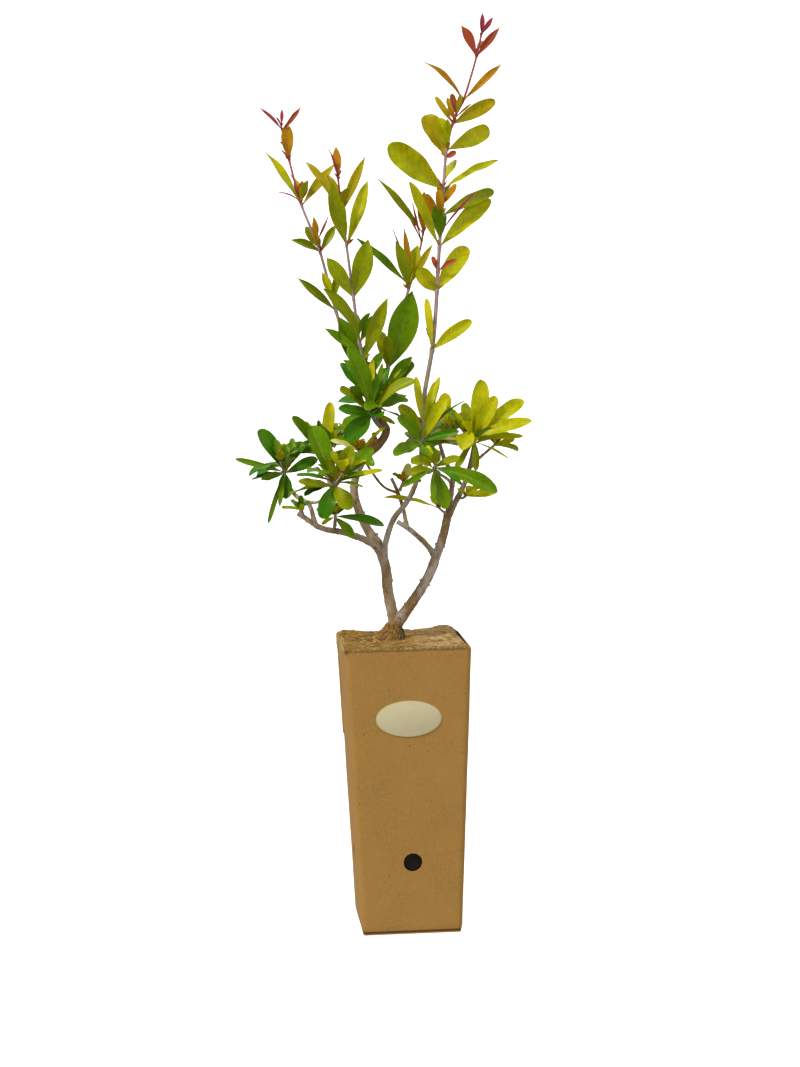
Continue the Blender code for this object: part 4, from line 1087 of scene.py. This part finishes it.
def bark_relief(limb, sizes, thick):
    """The height of the bark's skin at a point: long ridges, knobs, and rings where leaves once grew."""
    rng = random.Random(limb)
    offset = any_way(rng)

    def height(place):
        long_ridge = noise.noise(Vector((place.x, place.y, place.z * 0.35)) * per(2.2) + offset)
        knob = noise.noise(place * per(6.5) + offset)
        fine = noise.noise(place * per(0.9) + offset)
        return sizes.bark_relief * thick * (0.8 * long_ridge + 2.4 * max(0.0, knob) ** 1.4 + 0.3 * fine)

    return height


def limb_line(name, step):
    """A limb's middle line and its radius at each point, widened where it leaves its parent."""
    points, foot, tip = LIMBS[name]
    path = smooth_path(points, step)
    shares, length = travelled(path)
    radii = [(foot + (tip - foot) * share) * MM for share in shares]
    if name == "trunk":
        return path, [radius + FLARE * math.exp((path[0].z - place.z) / FLARE_REACH)
                      for radius, place in zip(radii, path)]
    collar = COLLAR_REACH * foot * MM
    return path, [radius * (1 + COLLAR_SWELL * math.exp(-(share * length / collar) ** 2))
                  for radius, share in zip(radii, shares)]


def add_leaf_scars(shape, path, radii, rng):
    """Old leaf scars: low knobs in pairs up a limb, each pair a quarter turn from the last."""
    frames = turning_frames(path)
    shares, length = travelled(path)
    place, turn = rng.uniform(3, 8) * MM, rng.uniform(0, math.pi)
    while place < length - 2 * MM:
        index = min(range(len(path)), key=lambda ring: abs(shares[ring] * length - place))
        side, other = frames[index]
        for half in (0, math.pi):
            out = side * math.cos(turn + half) + other * math.sin(turn + half)
            root = path[index] + out * radii[index] * 0.8
            knob = radii[index] * rng.uniform(0.16, 0.30)
            reach = radii[index] * 0.2 + knob * rng.uniform(0.5, 1.0)
            line = [root, root + out * reach * 0.6, root + out * reach, root + out * (reach + knob * 0.35)]
            shape.add(*tube(line, [1.9 * knob, 1.4 * knob, knob * 0.9, 0.3 * knob], 7))
        place += rng.uniform(7, 17) * MM
        turn += math.pi / 2


class POMEGRANATE_OT_wood(bpy.types.Operator):
    """Give the trunk and every bough a mesh with the bark's relief, knobs and old pruning cuts"""

    bl_idname = "pomegranate.wood"
    bl_label = "Trunk and boughs"

    def execute(self, context):
        sizes, colours = context.scene.plant_sizes, context.scene.plant_colours
        barks = [young_bark(name, colour, colours.dark_bark, colours.warm_bark) for name, colour in (
            ("grey_brown_bark", colours.old_bark), ("silvery_bark", colours.silver_bark),
            ("brown_bark", colours.crook_bark))]
        cuts = Shape()
        for name in LIMBS:
            path, radii = limb_line(name, sizes.bark_ring)
            thick = 1.0 if radii[0] > 3 * MM else 0.6
            if name == "trunk":
                path[0].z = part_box("trunk")[0].z
            if name in CUT_ENDS:
                self.add_cut(cuts, path, radii)
            else:
                path, radii = rounded_end(path, radii)
            shape = Shape(*tube(path, radii, LIMB_SIDES, bark_relief(name, sizes, thick)))
            add_leaf_scars(shape, path, radii, random.Random(name + " scars"))
            bark = barks[2 if name in BROWN_LIMBS else 1 if name in SILVERY_LIMBS else 0]
            shape.piece("bark_" + name, bark, "bark", (name,))
        cuts.piece("pruning_cuts", cut_heartwood("weathered_cut", colours.cut_wood), "bark")
        return {"FINISHED"}

    def add_cut(self, shape, path, radii):
        """A slightly hollow brown face on a pruned end."""
        aim = (path[-1] - path[-2]).normalized()
        line = [path[-1] - aim * 0.6 * MM, path[-1] + aim * 0.25 * MM, path[-1] + aim * 0.45 * MM]
        radius = radii[-1]
        shape.add(*tube(line, [radius * 0.9, radius * 0.93, radius * 0.62], 18,
                        lambda place: 0.12 * MM * noise.noise(place * per(0.9))))


def side_at(height):
    """The width of the carton at a height."""
    return CARTON_FOOT + (CARTON_TOP - CARTON_FOOT) * height / CARTON_HEIGHT


def outline(height, inset, corner, side_points=30, corner_points=6):
    """The carton's rounded square at a height, set in from its outside, from the front's left end round."""
    half = side_at(height) / 2 - inset
    radius = max(corner, 0.1 * MM)
    points = []
    for quarter in range(4):
        turn = Matrix.Rotation(math.pi / 2 * quarter, 3, "Z")
        for index in range(side_points):
            across = (half - radius) * (2 * index / side_points - 1)
            points.append(turn @ Vector((across, -half, height)))
        for index in range(corner_points):
            angle = math.pi / 2 * index / corner_points
            points.append(turn @ Vector((half - radius + radius * math.sin(angle),
                                         -half + radius - radius * math.cos(angle), height)))
    return points


def board_waver(point, depth):
    """How far a point of the board is pushed out: slow hollows and swells, a touch less on the folds."""
    half = side_at(point.z) / 2
    off_fold = max(0.0, 1 - min(abs(abs(point.x) - half), abs(abs(point.y) - half)) / 0.5)
    swell = noise.noise(point * per(38)) * 0.9 + noise.noise(point * per(9)) * 0.14
    return depth * swell * off_fold


class POMEGRANATE_OT_carton(bpy.types.Operator):
    """Make the board sleeve with its punched holes, folds and worn rim, and the folded base under it"""

    bl_idname = "pomegranate.carton"
    bl_label = "Carton"

    def execute(self, context):
        sizes, colours = context.scene.pot_sizes, context.scene.pot_colours
        board = recycled_board("recycled_kraft_board", colours, colours.board)
        self.punch_holes(self.make_sleeve(sizes, board))
        self.make_base(colours, recycled_board("board_of_the_base", colours, colours.board))
        self.make_flap(board)
        return {"FINISHED"}

    def make_sleeve(self, sizes, board):
        """The tapering sleeve, outside then inside, with a softly worn rim."""
        low = BASE_THICK + GAP
        heights = [low + (CARTON_HEIGHT - low) * row / SLEEVE_ROWS for row in range(SLEEVE_ROWS + 1)]
        rings = []
        for row, height in enumerate(heights):
            worn = 0.35 * MM if row in (0, SLEEVE_ROWS) else 0.0
            ring = outline(height, worn, CORNER_ROUND)
            rings.append([self.pushed(point, sizes.wall_waver) for point in ring])
        rings += [outline(height, BOARD, CORNER_ROUND - BOARD) for height in reversed(heights)]
        return Shape(*lofted(rings)).piece("carton_sleeve", board, "board", ("carton",), sharp=40)

    def pushed(self, point, depth):
        """A point of the outer skin, moved along its face by the board's waver."""
        out = Vector((point.x, 0, 0)) if abs(point.x) > abs(point.y) else Vector((0, point.y, 0))
        return point + out.normalized() * min(0.0, board_waver(point, depth) - 0.1 * depth)

    def punch_holes(self, sleeve):
        """One round hole in each side, cut through the board."""
        for turn in ((math.pi / 2, 0, 0), (0, math.pi / 2, 0)):
            bm = bmesh.new()
            bmesh.ops.create_cone(bm, cap_ends=True, segments=64, radius1=HOLE_RADIUS, radius2=HOLE_RADIUS,
                                  depth=1.5 * CARTON_TOP)
            mesh = bpy.data.meshes.new("punch")
            bm.to_mesh(mesh)
            bm.free()
            punch = put_in_scene("punch", mesh)
            punch.location = (HOLE_SIDE_STEP, 0, HOLE_HEIGHT)
            punch.rotation_euler = turn
            cut = sleeve.modifiers.new("hole", "BOOLEAN")
            cut.object = punch
            graph = bpy.context.evaluated_depsgraph_get()
            graph.update()
            sleeve.data = bpy.data.meshes.new_from_object(sleeve.evaluated_get(graph))
            sleeve.modifiers.clear()
            bpy.data.objects.remove(punch, do_unlink=True)
        sleeve.data.set_sharp_from_angle(angle=math.radians(40))

    def make_base(self, colours, board):
        """The base flap: three plies, the lower of board and the two above it darker, partly the board's cut
        edge and partly painted shadow under the sleeve's foot, frayed at the front left corner.
        """
        rng = random.Random(5)
        # The darker plies are partly the cut edge and partly painted shadow under the sleeve's foot
        edge = recycled_board("cut_edge_of_board", colours, colours.board_edge)
        for name, material, low, high, inset, replaced in (
                ("lower", board, 0.0, 0.0011, 0.9, ("carton_base",)), ("core", edge, 0.0011, 0.0022, 1.5, ()),
                ("upper", edge, 0.0022, BASE_THICK, 0.7, ())):
            rings = [[point - Vector((point.x, point.y, 0)).normalized() * rng.uniform(0, 0.18) * MM
                      for point in outline(height, inset * MM, 2.5 * MM)] for height in (low, high)]
            shape = Shape(*lofted(rings, closed=False))
            shape.piece("base_" + name + "_ply", material, "board_base", replaced, 30)
        frays = Shape()
        corner = Vector((-side_at(0) / 2 + 1.6 * MM, -side_at(0) / 2 + 1.6 * MM, 0.0016))
        for index in range(BOARD_FRAYS):
            start = corner + Vector((rng.uniform(-1, 3), rng.uniform(-1, 1.5), rng.uniform(-1, 3))) * MM
            aim = Vector((rng.uniform(-1, 0.2), rng.uniform(-1, 0.1), rng.uniform(-0.2, 0.6)))
            reach = aim.normalized() * rng.uniform(0.8, 2.0) * MM
            line = [start, start + 0.5 * reach + UP * rng.uniform(-0.2, 0.2) * MM, start + reach]
            frays.add(*tube(line, [0.16 * MM, 0.12 * MM, 0.05 * MM], 4))
        frays.piece("base_frayed_fibres", board, "board_base")

    def make_flap(self, board):
        """The glued lap down the back end of the left side, a ply thick, that ends above the middle."""
        rings = []
        for height in (LAP_FOOT, LAP_FOOT + 0.0008, CARTON_HEIGHT - 0.004):
            half = side_at(height) / 2
            lift = 0.35 * MM if height == LAP_FOOT else LAP_PLY
            front, back = 0.70 * half, half - CORNER_ROUND
            rings.append([Vector((-half + out, along, height)) for out, along in (
                (0.6 * MM, back), (0.6 * MM, front), (-0.3 * lift, front), (-lift, front + 1.2 * MM),
                (-lift, back))])
        Shape(*lofted(rings, closed=False)).piece("carton_glued_lap", board, "board", sharp=30)


class POMEGRANATE_OT_label(bpy.types.Operator):
    """Lay the bare oval label on the sloping front: cream paper inside a deeper border"""

    bl_idname = "pomegranate.label"
    bl_label = "Label"

    def execute(self, context):
        colours = context.scene.pot_colours
        across, height = LABEL_PLACE
        slope = math.atan2((CARTON_TOP - CARTON_FOOT) / 2, CARTON_HEIGHT)
        lay = (Matrix.Translation((across, -side_at(height) / 2 - 0.2 * MM, height))
               @ Matrix.Rotation(math.pi / 2 + slope, 4, "X"))
        paper = coated_paper("label_border_paper", colours.label_rim)
        self.disc(lay, 1.0, 0.12 * MM, 0.30 * MM).piece("label_border", paper, "label", ("label",), 30)
        paper = coated_paper("cream_label_paper", colours.label)
        self.disc(lay, 0.955, 0.25 * MM, 0.34 * MM).piece("label_face", paper, "label", (), 30)
        return {"FINISHED"}

    def disc(self, lay, share, low, high):
        """A thin oval, a little rounded at its edge."""
        rings = []
        for level, inset in ((low, 0.0), (high - 0.04 * MM, 0.0), (high, 0.12 * MM)):
            half = Vector((LABEL_WIDE / 2 * share - inset, LABEL_TALL / 2 * share - inset))
            rings.append([lay @ Vector((half.x * math.cos(angle), half.y * math.sin(angle), level))
                          for angle in circle(120)])
        return Shape(*lofted(rings, closed=False))


class POMEGRANATE_OT_filling(bpy.types.Operator):
    """Make the ribbed black liner, whose lip shows at the corners, and the compost with its crumbs"""

    bl_idname = "pomegranate.filling"
    bl_label = "Liner and compost"

    def execute(self, context):
        sizes, colours = context.scene.pot_sizes, context.scene.pot_colours
        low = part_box("liner_pot")[0].z
        top = CARTON_HEIGHT + sizes.lip_height
        levels = [low + 0.0005] + [low + (top - low) * row / 40 for row in range(1, 41)]
        walls = [(height, 0.0, 2.2) for height in levels]
        walls.append((top + 0.5 * MM, 0.35, 2.0))
        walls += [(height, 0.7, 1.8) for height in reversed(levels[1:])]
        rings = [self.ribbed(outline(height, LINER_INSET + share * LINER_WALL, corner * MM, 60, 12), top)
                 for height, share, corner in walls]
        plastic = moulded_polypropylene("black_polypropylene", colours.liner)
        Shape(*lofted(rings, closed=False)).piece("ribbed_liner", plastic, "liner", ("liner_pot",), 50)
        self.make_compost(colours)
        return {"FINISHED"}

    def ribbed(self, ring, top):
        """Fine upright ribs pressed into the liner's wall, and a lip that lies low but for its right side."""
        made = []
        for index, point in enumerate(ring):
            out = Vector((point.x, point.y, 0)).normalized()
            near_top = max(0.0, 1 - (top + 0.5 * MM - point.z) / (14 * MM))
            proud = min(1.0, max(0.0, (point.x - 41 * MM) / (4 * MM)))
            bow = 1 - (point.y / (46 * MM)) ** 2
            lift = UP * near_top * MM * ((0.6 + 1.7 * bow) * proud - 2.2 * (1 - proud))
            made.append(point - out * 0.22 * MM * (index % 2) + lift)
        return made

    def make_compost(self, colours):
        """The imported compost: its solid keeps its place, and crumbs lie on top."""
        compost = damp_compost("damp_coir_compost", colours.compost)
        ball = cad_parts["root_ball"]
        ball.data.materials.clear()
        ball.data.materials.append(compost)
        rng = random.Random(12)
        crumbs = Shape()
        half = side_at(SOIL_LEVEL) / 2 - 7 * MM
        for index in range(COMPOST_CRUMBS):
            place = Vector((rng.uniform(-half, half), rng.uniform(-half, half), SOIL_LEVEL + 0.3 * MM))
            size = rng.uniform(0.5, 1.5) * MM
            line = [place - UP * size, place, place + UP * size * 0.8]
            crumbs.add(*tube(line, [size * 0.5, size, size * 0.4], 5))
        crumbs.piece("compost_crumbs", compost, "soil")


def mat_height(x, y):
    """The height of the coir mat: a hollow at the left, a flat right half and a raised back flap."""
    height = MAT_TOP
    for across, back, wide, deep, rise in MAT_SWELLS:
        height += rise * MM * math.exp(-((x / MM - across) / wide) ** 2 - ((y / MM - back) / deep) ** 2)
    return height


# Half the carton's width at its rim, and half the mat's inside it
RIM = side_at(CARTON_HEIGHT) / 2
MAT_HALF = RIM - LINER_INSET - 1.0 * MM


def mat_surface(x, y):
    """The mat's skin with its lumps, falling away at the sides and back where the rim shows."""
    lumps = 0.9 * noise.noise(Vector((x, y, 0.1)) * per(11))
    lumps += 0.45 * noise.noise(Vector((x, y, 0.4)) * per(3.2))
    at_rim = max(x - (MAT_HALF - 2.5 * MM), y - (MAT_HALF - 2.5 * MM), 0.0) / (2.5 * MM)
    over_left = max(0.0, -MAT_HALF + 1.5 * MM - x) / (4 * MM)
    return mat_height(x, y) + lumps * MM - (min(1.0, at_rim) ** 2 * 1.8 + min(1.0, over_left) ** 2 * 1.2) * MM


class POMEGRANATE_OT_coir(bpy.types.Operator):
    """Lay the coir mat, its loose strands, the cone drawn up round the stem and the moss in its gap"""

    bl_idname = "pomegranate.coir"
    bl_label = "Coir mat"

    def execute(self, context):
        sizes, colours = context.scene.pot_sizes, context.scene.pot_colours
        self.make_mat(coconut_fibre("felted_coconut_fibre", colours.coir))
        self.make_cone(coconut_fibre("orange_coconut_fibre", colours.coir_orange))
        self.lay_fibres(context, self.loose_fibre, 9, sizes.strands, (0.7, 1.5), "_strand_fibre", "_strands")
        self.lay_fibres(context, self.cone_fibre, 19, sizes.cone_strands, (0.8, 1.5), "_cone_fibre",
                        "_cone_strands")
        self.lay_fibres(context, self.rim_fibre, 41, FRINGE_FIBRES, (0.7, 1.4), "_fringe_fibre", "_fringe")
        self.make_moss(colours)
        return {"FINISHED"}

    def make_mat(self, felt):
        """The felted mat: a lumpy sheet whose front and left edges lap the carton's rim."""
        cells = MAT_CELLS
        front = RIM + 0.2 * MM
        top, below = [], []
        for row in range(cells + 1):
            y = -front + (MAT_HALF + front) * row / cells
            for column in range(cells + 1):
                x = -front + (MAT_HALF + front) * column / cells
                edge = -front + 0.8 * MM * noise.noise(Vector((x, 0, 0)) * per(4))
                side_edge = -front + 0.8 * MM * noise.noise(Vector((0, y, 0)) * per(4))
                place = Vector((max(x, side_edge), max(y, edge), mat_surface(x, y)))
                on_rim = y < -MAT_HALF or x < -MAT_HALF
                if y < -MAT_HALF:
                    slope = (-MAT_HALF - y) / (front - MAT_HALF)
                    place.z = mat_surface(x, -MAT_HALF) * (1 - slope) + (CARTON_HEIGHT + 1.5 * MM) * slope
                floor = CARTON_HEIGHT + 0.15 * MM if on_rim else SOIL_LEVEL + 0.5 * MM
                place.z = max(place.z, floor + 0.3 * MM)
                top.append(place)
                below.append(Vector((place.x, place.y, floor)))
        side = cells + 1
        faces = []
        for start in (row * side + column for row in range(cells) for column in range(cells)):
            faces.append((start, start + 1, start + side + 1, start + side))
            low = start + side * side
            faces.append((low, low + side, low + side + 1, low + 1))
        rim = [*range(side), *(row * side + cells for row in range(1, side)),
               *(cells * side + column for column in range(cells - 1, -1, -1)),
               *(row * side for row in range(cells - 1, 0, -1))]
        for start, after in zip(rim, rim[1:] + rim[:1]):
            faces.append((start, start + side * side, after + side * side, after))
        Shape(top + below, faces).piece("coir_felt", felt, "coir", ("coir_mat",), 70)

    def cone_point(self, share, angle, lift=0.0):
        """A point on the cone of fibre round the stem, share of the way up it."""
        radius = CONE_RADIUS + (CONE_TIP_RADIUS - CONE_RADIUS) * share ** 0.75 + lift
        lean = Vector((*CONE_LEAN, 0)) * share
        return CONE_FOOT + lean + around(angle, 0) * radius + UP * (CONE_HEIGHT + CONE_PROUD) * share

    def make_cone(self, felt):
        """The body of the cone, lumpy and drawn in at its top."""
        rings = []
        for share in (row / 24 for row in range(25)):
            ring = []
            for angle in circle(72):
                lumps = noise.noise(self.cone_point(share, angle) * per(5)) * 2.2 * MM * (1.2 - share)
                ring.append(self.cone_point(share, angle, lumps - 0.6 * MM))
            rings.append(ring)
        Shape(*lofted(rings, closed=False)).piece("coir_cone", felt, "coir", (), 70)

    def lay_fibres(self, context, draw_fibre, seed, count, widths, kind, piece):
        """Thin fibres, each tapering to its ends, in one piece for each colour."""
        rng = random.Random(seed)
        shapes = {name: Shape() for name in FIBRES}
        for index in range(count):
            line, name = draw_fibre(index, rng)
            radius = context.scene.pot_sizes.strand * rng.uniform(*widths)
            steps = [math.pi * (place + 0.5) / len(line) for place in range(len(line))]
            shapes[name].add(*tube(line, [radius * (0.45 + 0.55 * math.sin(step)) for step in steps], 3))
        for name, shape in shapes.items():
            if shape.corners:
                fibre = coconut_fibre(name + kind, getattr(context.scene.pot_colours, name))
                shape.piece(name + piece, fibre, "coir", (), 80)

    def loose_fibre(self, index, rng):
        """A fibre on the mat: mostly along it and denser at its front edge, more often pale towards the
        right, and more often dark in the hollow at the left, where the dark fibres are painted shade.
        """
        at_edge = rng.random() < SHARE_AT_EDGE
        at_left = at_edge and rng.random() < SHARE_AT_LEFT
        x = rng.uniform(-MAT_HALF, MAT_HALF)
        y = -RIM + abs(rng.gauss(0, 3.2)) * MM if at_edge else rng.uniform(-MAT_HALF, MAT_HALF)
        heading = rng.gauss(0, 0.7) + (math.pi if rng.random() < 0.5 else 0)
        if at_left:
            x, y = -RIM + abs(rng.gauss(0, 3.0)) * MM, rng.uniform(-MAT_HALF, MAT_HALF)
            heading += math.pi / 2
        length = rng.uniform(3, 13) * MM
        curl = rng.uniform(-1.6, 1.6)
        lift = rng.uniform(0.0, 0.7) * MM + (rng.uniform(0, 1.6) * MM if rng.random() < 0.12 else 0)
        line = []
        for step in range(6):
            share = step / 5
            turned = heading + curl * share
            x = max(-RIM - 0.3 * MM, min(MAT_HALF, x + math.cos(turned) * length / 5))
            y = max(-RIM - 0.3 * MM, min(MAT_HALF, y + math.sin(turned) * length / 5))
            ground = mat_surface(x, max(y, -MAT_HALF))
            if y < -MAT_HALF:
                slope = (-MAT_HALF - y) / (RIM - MAT_HALF)
                ground = ground * (1 - slope) + (CARTON_HEIGHT + OVER_RIM) * slope
            line.append(Vector((x, y, ground + lift * math.sin(math.pi * share))))
        # More fibres are dark in the hollow: painted shade in the mat's dip
        hollow_shade = math.exp(-((x / MM + 30) / 19) ** 2 - ((y / MM - 10) / 30) ** 2)
        at_right = min(1.0, max(0.0, (x / MM + 5) / 25))
        draw = rng.random()
        if draw > 0.97 - 0.55 * hollow_shade:
            return line, "coir_dark"
        if draw > 0.86:
            return line, "coir_orange"
        pale_share = (0.06 if at_edge else 0.12) + 0.50 * at_right
        return line, "coir_pale" if draw < pale_share else "coir"

    def cone_fibre(self, index, rng):
        """A fibre wound steeply up the cone, orange-brown or one of the paler ones among them."""
        share = rng.uniform(-0.12, 0.85)
        angle = rng.uniform(0, 2 * math.pi)
        climb = rng.uniform(0.12, 0.45)
        spin = rng.uniform(-0.7, 1.1)
        line = []
        for step in range(6):
            at = share + climb * step / 5
            lift = rng.uniform(-0.1, 0.5) * MM + (2.5 * MM * max(0.0, -at) / 0.12)
            line.append(self.cone_point(min(max(at, 0.0), 1.06), angle + spin * step / 5, lift))
        draw = rng.random()
        for limit, name in ((0.12, "coir_pale"), (0.42, "coir"), (0.6, "coir_dark")):
            if draw < limit:
                return line, name
        return line, "coir_orange"

    def rim_fibre(self, index, rng):
        """A frayed fibre over the rim: short along the front, longer down the left side towards the back."""
        along = rng.uniform(-RIM + 1.0 * MM, RIM - 5 * MM)
        at_left = index % 5 > 0
        towards_back = (along + RIM) / (2 * RIM)
        reach = 1.2 + 3.6 * towards_back if at_left else 0.25
        drop = abs(rng.gauss(0, reach)) * MM
        drift = rng.uniform(-3.0, 3.0) * MM
        stand = rng.uniform(0.25, 0.8) * MM
        line = []
        for share in (0.0, 0.2, 0.4, 0.6, 0.8, 1.0):
            over = min(1.0, share / 0.4)
            fallen = (drop + 1.2 * MM) * max(0.0, share - 0.4) / 0.6
            out = -RIM + 2.5 * MM * (1 - over) - stand * over
            level = CARTON_HEIGHT + (1.9 - 0.7 * over) * MM - fallen
            side = along + drift * share
            line.append(Vector((out, side, level)) if at_left else Vector((side, out, level)))
        draw = rng.random()
        return line, "coir_pale" if draw < 0.4 else "coir_dark" if draw > 0.85 and at_left else "coir"

    def make_moss(self, colours):
        """Grey-green moss in the gap at the right of the cone, and dark crumbs there that are painted shade
        in the gap.
        """
        rng = random.Random(29)
        moss, crumbs = Shape(), Shape()
        for index in range(MOSS_TUFTS):
            share = 0.92 - 0.85 * rng.random()
            place = self.cone_point(share, rng.uniform(-0.75, -0.15), rng.uniform(0.0, 1.5) * MM)
            size = rng.uniform(0.3, 0.85) * MM
            aim = any_way(rng).normalized()
            line = [place - aim * size, place, place + aim * size]
            # Two in five bits are dark crumbs: painted shade in the gap
            target = moss if rng.random() < 0.6 else crumbs
            target.add(*tube(line, [size * 0.3, size * 0.8, size * 0.25], 5))
        moss.piece("moss_tufts", dry_moss("dry_cushion_moss", colours.moss), "coir")
        crumbs.piece("dark_crumbs", damp_compost("dark_husk_crumb", colours.compost), "coir")


class POMEGRANATE_OT_stage(bpy.types.Operator):
    """Set the pale floor, the soft studio lights and the camera at the viewing angle"""

    bl_idname = "pomegranate.stage"
    bl_label = "Stage"

    def execute(self, context):
        self.make_floor()
        self.make_lights()
        self.make_camera()
        return {"FINISHED"}

    def make_floor(self):
        """A round white sweep: flat under the pot, then curving up all round to hide the horizon."""
        made, _, shader, _ = start_material("backlit_white_acrylic", linear("#F6F6F4"), 0.8, 0.1)
        shader.inputs["Emission Color"].default_value = (1.0, 1.0, 1.0, 1.0)
        shader.inputs["Emission Strength"].default_value = 0.68
        profile = [(0.02, 0.0), (0.6, 0.0), (1.6, 0.0)]
        for step in range(13):
            angle = math.pi / 2 * step / 12
            profile.append((2.6 + 2.2 * math.sin(angle), 2.4 * (1 - math.cos(angle))))
        rings = [[Vector((radius * math.cos(turn), radius * math.sin(turn), height)) for turn in circle(96)]
                 for radius, height in profile]
        corners, faces = lofted(rings, closed=False)
        faces.pop()
        mesh = bpy.data.meshes.new("studio_sweep")
        mesh.from_pydata(corners, [], faces)
        mesh.shade_smooth()
        mesh.materials.append(made)
        floor = put_in_scene("studio_sweep", mesh)
        floor.visible_diffuse = floor.visible_glossy = False

    def make_lights(self):
        """A soft key from the upper front left, weaker fills from the right and behind, and a pale world."""
        for name, heading, height, power, spread in (("key", -60, 46, 1.75, 14), ("fill", 52, 30, 0.62, 50),
                                                     ("back", 160, 50, 0.5, 40)):
            light = bpy.data.lights.new(name, "SUN")
            light.energy = power
            light.angle = math.radians(spread)
            lamp = put_in_scene(name, light)
            turn, lift = math.radians(heading), math.radians(height)
            level = math.cos(lift)
            source = Vector((math.sin(turn) * level, -math.cos(turn) * level, math.sin(lift)))
            lamp.location = source * 3
            lamp.rotation_euler = (-source).to_track_quat("-Z", "Y").to_euler()
        world = bpy.data.worlds.new("studio")
        bpy.context.scene.world = world
        world.use_nodes = True
        world.node_tree.nodes["Background"].inputs["Color"].default_value = (1.0, 1.0, 1.0, 1.0)
        world.node_tree.nodes["Background"].inputs["Strength"].default_value = 0.35
        bpy.context.scene.view_settings.view_transform = "Standard"

    def make_camera(self):
        """An 85 mm lens two metres away, a little to the left and looking slightly down."""
        turn, lift, roll = math.radians(-5.0), math.radians(5.77), math.radians(-1.05)
        away, aim_height, aside = 2.012, 0.3164, -0.00085
        back = Vector((math.sin(turn) * math.cos(lift), -math.cos(turn) * math.cos(lift), math.sin(lift)))
        right = Vector((math.cos(turn), math.sin(turn), 0))
        up = back.cross(right)
        level = math.cos(roll) * right + math.sin(roll) * up
        upright = -math.sin(roll) * right + math.cos(roll) * up
        place = Vector((0, 0, aim_height)) + right * aside + back * away
        data = bpy.data.cameras.new("camera")
        data.lens = 85
        data.sensor_width = 36
        data.clip_start = 0.05
        camera = put_in_scene("camera", data)
        rows = Matrix((level, upright, back)).transposed().to_4x4()
        camera.matrix_world = Matrix.Translation(place) @ rows
        bpy.context.scene.camera = camera


class POMEGRANATE_PT_sidebar(bpy.types.Panel):
    """The pieces, sizes and colours of the tree, in the 3D view's sidebar"""

    bl_idname = "POMEGRANATE_PT_sidebar"
    bl_label = "Pomegranate Tree"
    bl_space_type = "VIEW_3D"
    bl_region_type = "UI"
    bl_category = "Pomegranate"

    def draw(self, context):
        layout = self.layout
        for operator in STEPS:
            layout.operator(operator.bl_idname)
        for owner in SETTINGS:
            box = layout.box()
            for setting in SETTINGS[owner].__annotations__:
                box.prop(getattr(context.scene, owner), setting)


STEPS = (POMEGRANATE_OT_wood, POMEGRANATE_OT_shoots, POMEGRANATE_OT_leaves, POMEGRANATE_OT_carton,
         POMEGRANATE_OT_label, POMEGRANATE_OT_filling, POMEGRANATE_OT_coir, POMEGRANATE_OT_stage)
SETTINGS = {"plant_sizes": PlantSizes, "pot_sizes": PotSizes, "plant_colours": PlantColours,
            "pot_colours": PotColours}
CLASSES = (*SETTINGS.values(), *STEPS, POMEGRANATE_PT_sidebar)


def register():
    for kind in CLASSES:
        bpy.utils.register_class(kind)
    for name, kind in SETTINGS.items():
        setattr(bpy.types.Scene, name, bpy.props.PointerProperty(type=kind))


def unregister():
    for name in SETTINGS:
        delattr(bpy.types.Scene, name)
    for kind in reversed(CLASSES):
        bpy.utils.unregister_class(kind)


def main():
    register()
    for step in STEPS:
        group, name = step.bl_idname.split(".")
        getattr(getattr(bpy.ops, group), name)()


if __name__ == "__main__":
    main()
